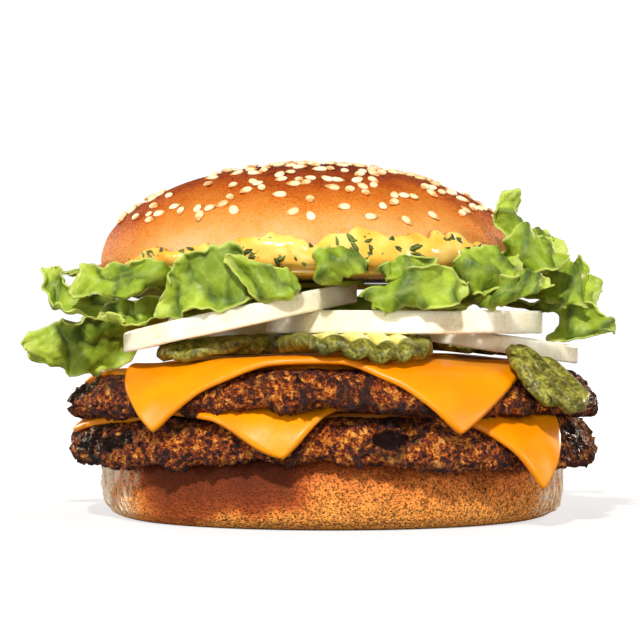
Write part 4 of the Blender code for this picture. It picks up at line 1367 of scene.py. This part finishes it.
@dataclass
class Leaf:
    """A lettuce leaf between two margins, each a smooth curve through four points from root to tip."""

    name: str
    upper: tuple
    lower: tuple
    cup: float
    ruffle: float
    waves: float
    phase: float
    columns: int = 84
    rows: int = 56

    def blade(self) -> tuple[Array, Array, Array]:
        """The blade's points, and for each its share from root to tip and from margin to margin.

        Returns:
            The grid of points and the two shares at each of them.
        """
        share, side = np.meshgrid(np.linspace(0, 1, self.columns), np.linspace(-1, 1, self.rows))
        high, low = through(self.upper, share), through(self.lower, share)
        before, after = np.maximum(0.0, share - 0.02), np.minimum(1.0, share + 0.02)
        ahead = through(self.upper, after) - through(self.upper, before)
        across = high - low
        width = np.linalg.norm(across, axis=-1)
        normal = np.cross(ahead, across)
        normal /= np.maximum(1e-9, np.linalg.norm(normal, axis=-1, keepdims=True))
        past = np.clip((share - 0.74) / 0.26, 0.0, 1.0)
        lobe = 1 - 0.6 * (1 - np.sqrt(1 - 0.96 * past * past))
        rough = np.stack((share * 40, side * 3, np.full_like(share, self.phase)), axis=-1)
        ragged = 1.1 + 0.2 * swirl(rough, 7.0) + 0.16 * swirl(rough, 2.6, 1.0)
        point = (high + low) / 2 + across / 2 * (side * lobe * ragged)[..., None]
        wave = np.sin(TAU * self.waves * share + self.phase + np.where(side > 0, 1.4, 0.0) * np.abs(side))
        lift = self.cup * width / 2 * (1 - side * side)
        lift += self.ruffle * np.abs(side) ** 1.7 * smooth(0.2, 0.5, share) * wave
        return point + normal * lift[..., None], share, side

    def build(self) -> None:
        """Makes the blade with its veins, puckers and frilled margin, and replaces its solid."""
        grid, share, side = self.blade()
        length = np.linalg.norm(np.diff(grid, axis=1), axis=-1).sum(axis=1).mean()
        width = np.linalg.norm(np.diff(grid, axis=0), axis=-1).sum(axis=0).mean()
        normal = normals_of(grid)
        margin = np.maximum(np.abs(side) ** 2, smooth(0.7, 1.0, share))
        s, t = share * length, side * width / 2
        flat = np.stack((s, t, np.full_like(s, 9.0 * self.phase)), axis=-1)
        warp = 1.6 * swirl(flat, 6.0, 1.0)
        rib = np.exp(-((t + 0.5 * warp) / (0.9 - 0.5 * share)) ** 2) * (1 - 0.7 * share)
        branch = (s - 0.8 * np.abs(t) + warp) / 5.5
        side_vein = np.exp(-((branch - np.round(branch)) * 5.5 / 0.42) ** 2) * (1 - 0.6 * np.abs(side))
        net = (s + 1.1 * np.abs(t) - 2 * warp) / 3.2
        fine = np.exp(-((net - np.round(net)) * 3.2 / 0.3) ** 2) * 0.4
        vein = np.clip(np.maximum(np.maximum(rib, 0.8 * side_vein), fine), 0, 1)
        frill = 3.0 * swirl(grid, 8.0, self.phase) + 1.6 * swirl(grid, 3.4, self.phase + 1)
        bent = flat + 1.5 * np.stack([swirl(flat, 6.0, 5.0 + k) for k in range(3)], axis=-1)
        billow = 3.2 * np.abs(swirl(bent, 11.0, 2.0)) + 0.7 * np.abs(swirl(bent, 5.5, 3.0))
        billow = billow + 0.12 * swirl(flat, 1.8, 4.0)
        roll = 1.3 * smooth(0.8, 1.0, np.maximum(np.abs(side), share)) ** 2 * swirl(flat, 12.0, 6.0)
        lift = margin * frill * smooth(0.1, 0.35, share) + billow - 0.8 + 0.12 * vein + 2 * roll
        grid = clear_of_crown(grid + normal * lift[..., None])
        # Painted shade in the valleys between the folds, by the fold mark
        fold = smooth(0.0, 1.1, billow) * (0.75 + 0.25 * smooth(-0.6, 0.4, swirl(bent, 5.0, 7.0)))
        # Painted highlight along the margins, by the pale mark
        pale = smooth(0.88, 1.0, np.maximum(np.abs(side), share))
        thick = 0.75 - 0.35 * margin
        name = self.name.replace("lettuce", "leaf")
        marks = {"vein": 0.35 * vein, "frill": 0.15 + 0.75 * np.maximum(share, 0.8 * np.abs(side)),
                 "fold": fold, "pale": 0.5 * pale}
        add_piece(name, slab_body(grid, thick, marks), LETTUCE.make(), Slot.LETTUCE, self.name)


def clear_of_crown(points: Array) -> Array:
    """The points, moved out or down where they are in the crown or in the sauce under it.

    Args:
        points: places in millimetres, three numbers each.

    Returns:
        The moved copy.
    """
    moved = points.copy()
    offset = points - CROWN_CENTRE
    reach = np.hypot(offset[..., 0], offset[..., 1])
    z = points[..., 2]
    outward = crown_wall(z) + CROWN_CLEAR - reach
    inside = (z > LAYER_CEILING) & (outward > 0) & (z <= CROWN_HEIGHT)
    down = inside & (z - LAYER_CEILING < outward)
    out = inside & ~down
    moved[..., 2] = np.where(down, LAYER_CEILING, z)
    grow = np.where(out, (reach + outward) / np.maximum(reach, 1e-6), 1.0)
    moved[..., :2] = CROWN_CENTRE[:2] + offset[..., :2] * grow[..., None]
    return moved


LEAVES = (
    Leaf("lettuce_left_low", ((-36, -6, 50.5), (-51, -10, 47), (-62, -10, 46), (-74, -8, 42.5)),
         ((-38, 8, 50), (-51, 0, 38.5), (-61, -6, 34.4), (-72, -8, 36.5)), 0.10, 1.3, 2.5, 0.4),
    Leaf("lettuce_left_curl", ((-38, -26, 51.6), (-52, -28, 51.8), (-60, -27, 54), (-62, -25, 59.5)),
         ((-38, -20, 49.8), (-53, -30, 47.5), (-64, -29, 49.5), (-67.5, -26, 58)), 0.30, 0.5, 1.5, 1.2),
    Leaf("lettuce_left_high", ((-28, -34, 54.2), (-38.5, -43.5, 59.3), (-48, -38, 58.3), (-57, -34, 61)),
         ((-36, -26, 53), (-42, -43, 53.3), (-51, -38, 51.6), (-59, -34, 52.5)), -0.15, 0.8, 2.0, 2.2),
    Leaf("lettuce_left_inner", ((-30, -22, 51.6), (-42, -33, 51), (-47, -35, 50.6), (-52, -33, 50.6)),
         ((-33, -18, 50), (-41.5, -37, 46.8), (-47, -38, 44.8), (-51, -35, 44.6)), 0.15, 0.5, 2.0, 0.3),
    Leaf("lettuce_front_left",
         ((-17, -41.5, 52.6), (-20.3, -52.9, 61.8), (-31.5, -50.5, 60.4), (-37.5, -47.5, 54)),
         ((-18, -40, 51.8), (-19, -51.5, 51.6), (-29, -51, 48.6), (-41, -46, 46)), 0.10, 0.7, 2.2, 0.7),
    Leaf("lettuce_fold", ((-14, -40, 54.7), (-9, -52.7, 57.2), (-15, -54.2, 57.5), (-23.5, -53.9, 62)),
         ((-9, -40, 54), (-7.5, -52.4, 53.6), (-14, -55.1, 51.8), (-24.5, -54.5, 57)), 0.30, 0.5, 1.5, 2.0),
    Leaf("lettuce_front_curl", ((2, -40, 54.8), (-4.5, -53.3, 58.5), (-0.5, -54.2, 63.2), (7, -53.3, 60.8)),
         ((7.5, -40, 54.8), (-3, -53.9, 54.5), (3, -55.7, 55.5), (8.5, -54.2, 57.2)), 0.35, 0.6, 1.6, 0.2),
    Leaf("lettuce_front_inner", ((20, -30, 54.8), (11.5, -51.8, 58), (15, -51.8, 60.3), (22, -50.3, 60.5)),
         ((24, -28, 54.6), (12, -51.8, 55.4), (16, -51.9, 56.2), (23, -50.6, 56.5)), 0.05, 0.3, 2.0, 1.4),
    Leaf("lettuce_front_right", ((14, -38, 52), (8, -51.5, 52.6), (17, -54.2, 57.2), (29.5, -51.8, 59.2)),
         ((18, -36, 49.8), (9, -52.1, 49.4), (18, -54.5, 49), (31.5, -50.9, 50)), 0.15, 0.9, 2.4, 1.1),
    Leaf("lettuce_right", ((24, -30, 54.6), (27.5, -46.5, 59.5), (34, -44.5, 62.5), (42, -41, 61)),
         ((30, -27, 53.4), (31, -46.8, 53), (37, -45, 53.6), (44, -42, 54.6)), 0.10, 0.8, 2.6, 2.6),
    Leaf("lettuce_right_fold", ((29, -33, 50.4), (36.5, -50, 53.5), (42, -50, 57), (48.5, -46.5, 56.3)),
         ((34, -30, 49.4), (33.5, -50.9, 49.8), (40.5, -51.2, 51), (49, -48, 54.2)), 0.12, 0.4, 2.0, 0.4),
    Leaf("lettuce_right_high", ((34, -20, 53.2), (40, -37, 64.5), (46, -34, 66), (50, -30, 64)),
         ((37, -15, 52.4), (44.5, -38, 57.5), (50, -37, 58.3), (53.5, -33, 59.5)), 0.20, 0.9, 2.0, 1.9),
    Leaf("lettuce_far_right", ((36, -2, 54), (52, -20, 59), (57, -23, 60.3), (62, -21, 54)),
         ((39, 4, 53), (50, -26.5, 51.3), (56, -27, 50.6), (60.5, -25, 51)), 0.12, 1.0, 2.2, 0.9),
    Leaf("lettuce_far_right_low", ((38, -14, 51.8), (49, -21, 51.2), (59, -25, 50), (66.5, -25, 45.2)),
         ((37, -6, 50.2), (50.8, -18, 48.3), (51.7, -20, 41.6), (63, -26, 43.4)), 0.10, 0.5, 2.2, 2.9),
    Leaf("lettuce_right_top", ((33, -18, 54.8), (43.5, -30, 60), (37.5, -29.5, 69), (37.3, -28, 74.5)),
         ((36, -12, 54.8), (47.5, -25, 59.5), (44, -26.5, 70), (43.5, -25.5, 77)), 0.30, 0.6, 2.0, 1.7),
    Leaf("lettuce_right_back", ((36, 6, 54.6), (51, -3, 59.5), (46.5, -9, 67), (50, -8, 68.2)),
         ((37, 13, 54.4), (55, 3, 58.5), (51, -5, 63), (53.5, -5, 65.5)), 0.25, 0.5, 1.6, 0.5),
    Leaf("lettuce_inner", ((-34, 12, 53.4), (-11, 15, 53.5), (11, 14, 53.5), (34, 12, 53.4)),
         ((-34, 8, 49.2), (-11, 9, 49.2), (11, 9, 49.2), (34, 9, 49.2)), 0.1, 0.5, 3.0, 0.4),
)


@dataclass
class Salad:
    """The lettuce layer: the leaves in front, the ones fanned out behind and the disc in the middle."""

    azimuths: tuple = (40, 68, 96, 124, 152)
    high: tuple = ((38.0, 54.2), (51.0, 54.0), (58.0, 60.5), (66.0, 58.5))
    low: tuple = ((38.0, 50.2), (51.0, 50.8), (61.5, 50.0), (69.0, 42.5))

    def back_leaves(self) -> list:
        """The leaves behind, alternately low and high, each with its own reach and ruffle.

        Returns:
            The leaves.
        """
        leaves = []
        for index, azimuth in enumerate(self.azimuths):
            margins = []
            for turn, drop in ((-15, 0.0), (15, 1.5)):
                angle = math.radians(azimuth + turn)
                rows = self.low if index % 2 else self.high
                grow = 1 + 0.03 * math.sin(2.3 * index + turn)
                out, along = grow * math.cos(angle), grow * math.sin(angle)
                margins.append(tuple((r * out + CROWN_CENTRE[0], r * along, z - drop * (r > 55))
                                     for r, z in rows))
            leaves.append(Leaf(f"lettuce_back_{index + 1}", *margins, 0.08, 1.2, 2.4, 1.1 * index))
        return leaves

    def build(self) -> None:
        """Makes every leaf."""
        for leaf in (*LEAVES, *self.back_leaves()):
            leaf.build()
        self.build_middle()

    def build_middle(self) -> None:
        """Makes the wavy disc of leaf under the sauce, and replaces its solid."""
        profile = np.vstack([np.stack((np.linspace(0, 30, 24), np.full(24, 0.35)), axis=-1), ((31, 0.0),),
                             np.stack((np.linspace(30, 0, 24), np.full(24, -0.35)), axis=-1)])
        angle = round_angles(120)
        radius, z = profile[:, :1], profile[:, 1:]
        wide = radius * (1 + 0.05 * np.sin(4 * angle + 0.6))
        x, y = wide * np.cos(angle), wide * np.sin(angle)
        height = z + 0.3 * np.sin(x / 5.5) * np.cos(y / 6.5) + 54.7
        grid = np.stack((x - 4.0, y * 0.78 + 9.0, height), axis=-1)
        vein = np.exp(-((np.sin(angle * 7 + 0.1 * radius)) / 0.12) ** 2) * np.ones_like(z)
        marks = {"vein": 0.6 * vein, "frill": 0.3 + 0.5 * radius / 31 * np.ones_like(angle),
                 "fold": np.ones_like(vein), "pale": np.zeros_like(vein)}
        add_piece("leaf_middle", turned_body(grid, marks), LETTUCE.make(), Slot.LETTUCE, "lettuce_middle")


# Sauce

@dataclass
class Dressing:
    """The thick herb sauce under the crown, squeezed up its wall in a ragged skirt, with herb in it."""

    skirt: tuple = ((-180, 1.0), (-150, 3.0), (-125, 1.2), (-100, 2.5), (-70, 1.0), (-57, 1.5), (-45, 5.5),
                    (-36, 4.5), (-28, 6.2), (-23, 3.8), (-17, 7.6), (-10, 8.6), (-3, 7.6), (1, 6.0),
                    (6, 8.6), (12, 9.2), (20, 8.2), (28, 8.0), (36, 8.8), (41, 9.0), (47, 6.8), (60, 1.6),
                    (70, 1.0), (100, 2.6), (130, 1.2), (155, 3.2), (180, 1.0))
    columns: int = 560
    flecks: int = 110

    def skirt_height(self, angle: Array) -> Array:
        """Height of the skirt in this direction, read from the list with smooth blends.

        Args:
            angle: directions, in radians.

        Returns:
            The heights.
        """
        right = (np.degrees(angle) + 90 + 180) % 360 - 180
        height = np.full(angle.shape, self.skirt[-1][1])
        for (low, before), (high, after) in zip(self.skirt, self.skirt[1:]):
            here = (right > low) & (right <= high)
            height = np.where(here, before + (after - before) * smooth(low, high, right), height)
        return height

    def build(self) -> None:
        """Makes the dressing and replaces its solid, and lays the herb flecks in it."""
        under = CROWN_BASE - GAP
        low = under - SAUCE_THICKNESS
        up = np.linspace(0.03, 1.0, 22)
        wall = under + up * SAUCE_SKIRT
        thick = GAP + 0.6 + 1.2 * np.sqrt(1 - np.clip((up - 0.7) / 0.33, 0, 1) ** 2)
        rows = [(r, under) for r in np.linspace(0, CROWN_RADIUS - 3.4, 14)]
        rows += [(crown_wall(z) + GAP + 0.1, z) for z in wall]
        rows += [(crown_wall(z) + t, z) for z, t in zip(wall[::-1], thick[::-1])]
        rows += [(CROWN_RADIUS - 0.2, under - 0.2), (CROWN_RADIUS - 3, under - 0.9), (CROWN_RADIUS - 8, low)]
        rows += [(r, low) for r in np.linspace(CROWN_RADIUS - 10, 0, 12)]
        profile = np.array(rows)
        angle = round_angles(self.columns)
        radius, z = (profile[:, k:k + 1] * np.ones_like(angle) for k in (0, 1))
        ring = about_z(30, angle, np.zeros_like(angle))
        ragged = self.skirt_height(angle) * (1 + 0.12 * swirl(ring, 2.6, 0.5) + 0.1 * swirl(ring, 1.1, 1.5))
        height = under + (z - under) * ragged / SAUCE_SKIRT
        on_wall = z > under + 0.01
        outer = np.zeros((len(profile), 1))
        outer[14 + len(wall):14 + 2 * len(wall)] = 1.0
        radius = np.where(on_wall, radius + crown_wall(height) - crown_wall(z), radius)
        height = np.where(on_wall, height, z)
        grid = about_z(radius, angle, height)
        blob = 0.55 * swirl(grid, 6.0, 0.2) + 0.3 * swirl(grid, 2.8, 1.2)
        grid[..., :2] *= (1 + outer * blob / np.maximum(radius, 1.0))[..., None]
        add_piece("herb_dressing", turned_body(grid + CROWN_CENTRE, {}), SAUCE.make(), Slot.SAUCE, "sauce")
        add_piece("herb_flecks", self.herbs(), HERB.make(), Slot.SAUCE)

    def herbs(self) -> Body:
        """Chopped herb on the skirt, each fleck a thin bent scrap.

        Returns:
            The body of all flecks.
        """
        draw = np.random.default_rng(31)
        points, faces = [], []
        while len(points) < self.flecks:
            right = draw.uniform(-60, 52) if len(points) < 0.75 * self.flecks else draw.uniform(-180, 180)
            angle = math.radians(right - 90)
            tall = float(self.skirt_height(np.array([angle]))[0])
            if tall < 2.5:
                continue
            height = CROWN_BASE + draw.uniform(0.1, 0.85) * tall
            radius = float(crown_wall(np.array(height))) + GAP + 1.75
            out = np.array((math.cos(angle), math.sin(angle), 0.0))
            side, up = np.array((-out[1], out[0], 0.0)), np.array((0.0, 0.0, 1.0))
            turn = draw.uniform(0, math.pi)
            first = side * math.cos(turn) + up * math.sin(turn)
            second = up * math.cos(turn) - side * math.sin(turn)
            long, wide = draw.uniform(0.6, 1.6), draw.uniform(0.35, 0.8)
            rows = []
            for x, w in ((-1, 0.35), (-0.4, 1.0), (0.3, 0.8), (1, 0.3)):
                for y, z in ((-1, 0), (0, 0.35), (1, 0), (0, -0.35)):
                    rows.append(first * x * long + second * (y * w * wide + 0.2 * x * x) + out * z * 0.4)
            start = 16 * len(points)
            points.append(np.array(rows) + out * radius + up * height + CROWN_CENTRE)
            for k in range(3):
                for j in range(4):
                    a, b = start + 4 * k + j, start + 4 * k + (j + 1) % 4
                    faces.append((a, b, b + 4, a + 4))
            faces += [(start + 3, start + 2, start + 1, start), tuple(range(start + 12, start + 16))]
        return Body(np.vstack(points), faces, {})


# Studio

@dataclass
class Lamp:
    """A soft square lamp that faces the middle of the burger."""

    name: str
    place: tuple
    power: float
    size: float
    colour: str = "#FFFFFF"
    target: tuple = (0.0, 0.0, 40.0)

    def build(self) -> None:
        """Adds the lamp, turned towards its target."""
        data = bpy.data.lights.new(self.name, "AREA")
        data.energy, data.size, data.color = self.power, self.size * MM, linear(self.colour)[:3]
        lamp = bpy.data.objects.new(self.name, data)
        bpy.context.scene.collection.objects.link(lamp)
        place = [value * MM for value in self.place]
        lamp.location = place
        aim = np.array(self.target) * MM - np.array(place)
        lamp.rotation_euler = Vector(aim.tolist()).to_track_quat("-Z", "Y").to_euler()


@dataclass
class Studio:
    """A white sweep under a clear key light, with soft fill from the front and sides and warm lamps behind.

    The floor's glow is given as (distance, strength) near the burger and far from it.
    """

    floor_size: float = 12000.0
    backdrop: float = 1.05
    ambient: float = 0.14
    glow: tuple = ((60.0, 0.68), (420.0, 1.05))
    lamps: tuple = (
        Lamp("key", (-165, -980, 790), 18.6, 60),
        Lamp("rim_left", (-660, 880, 260), 5.0, 240, "#FFE0C0"),
        Lamp("fill", (-60, -900, 50), 2.6, 420),
        Lamp("side_left", (-820, -300, 150), 2.3, 120),
        Lamp("side_right", (820, -300, 150), 3.0, 120),
        Lamp("rim_right", (680, 860, 280), 6.0, 240, "#FFE6CC"),
    )

    def build(self) -> None:
        """Adds the world, the floor, the lamps and the camera."""
        self.build_world()
        self.build_floor()
        for lamp in self.lamps:
            lamp.build()
        data = bpy.data.cameras.new("camera")
        data.lens, data.sensor_width = CAMERA_LENS, SENSOR_WIDTH
        data.clip_start, data.clip_end = 0.01, 100.0
        camera = bpy.data.objects.new("camera", data)
        bpy.context.scene.collection.objects.link(camera)
        camera.location = [value * MM for value in CAMERA_PLACE]
        camera.rotation_euler = (math.pi / 2, 0.0, 0.0)
        bpy.context.scene.camera = camera
        bpy.context.scene.view_settings.view_transform = "Standard"

    def build_world(self) -> None:
        """A white surround, dimmer as a light than it looks."""
        world = bpy.data.worlds.new("studio")
        bpy.context.scene.world = world
        world.use_nodes = True
        tree = world.node_tree
        tree.nodes.clear()
        seen = add(tree, "LightPath", {}, 0)
        strength = add(tree, "MapRange", {0: seen, 1: 0.0, 2: 1.0, 3: self.ambient, 4: self.backdrop})
        shade = add(tree, "Background", {0: linear("#FFFFFF"), 1: strength})
        out = tree.nodes.new("ShaderNodeOutputWorld")
        tree.links.new(shade, out.inputs[0])

    def build_floor(self) -> None:
        """A white floor, bright enough to melt into the surround: grey, with a painted glow that only the
        camera sees, dimmer near the burger.
        """
        half = self.floor_size / 2 * MM
        mesh = bpy.data.meshes.new("floor")
        corners = [(-half, -half, 0), (half, -half, 0), (half, half, 0), (-half, half, 0)]
        mesh.from_pydata(corners, [], [(0, 1, 2, 3)])
        floor = bpy.data.objects.new("floor", mesh)
        bpy.context.scene.collection.objects.link(floor)
        sweep = bpy.data.materials.new("white_studio_sweep")
        sweep.use_nodes = True
        tree = sweep.node_tree
        shader = tree.nodes["Principled BSDF"]
        shader.inputs["Base Color"].default_value = linear("#8C8C8C")
        shader.inputs["Roughness"].default_value = 0.8
        seen = add(tree, "LightPath", {}, 0)
        place = add(tree, "TexCoord", {}, 3)
        away = add(tree, "VectorMath", {0: place}, 1, operation="LENGTH")
        (near, dim), (far, bright) = self.glow
        level = add(tree, "MapRange", {0: away, 1: near * MM, 2: far * MM, 3: dim, 4: bright})
        glow = add(tree, "Math", {0: seen, 1: level}, operation="MULTIPLY")
        tree.links.new(glow, shader.inputs["Emission Strength"])
        shader.inputs["Emission Color"].default_value = linear("#FFFFFF")
        mesh.materials.append(sweep)


def main() -> None:
    """Builds the studio and then the burger from the heel up."""
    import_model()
    burger = (Heel(), LOWER_PATTY, UPPER_PATTY, *SLICES, *PICKLES, *ONIONS, Salad(), Dressing(), Crown())
    for layer in (Studio(), *burger):
        layer.build()
        log.info("built %s", type(layer).__name__)


if __name__ == "__main__":
    logging.basicConfig(level=logging.INFO, format="%(message)s")
    main()
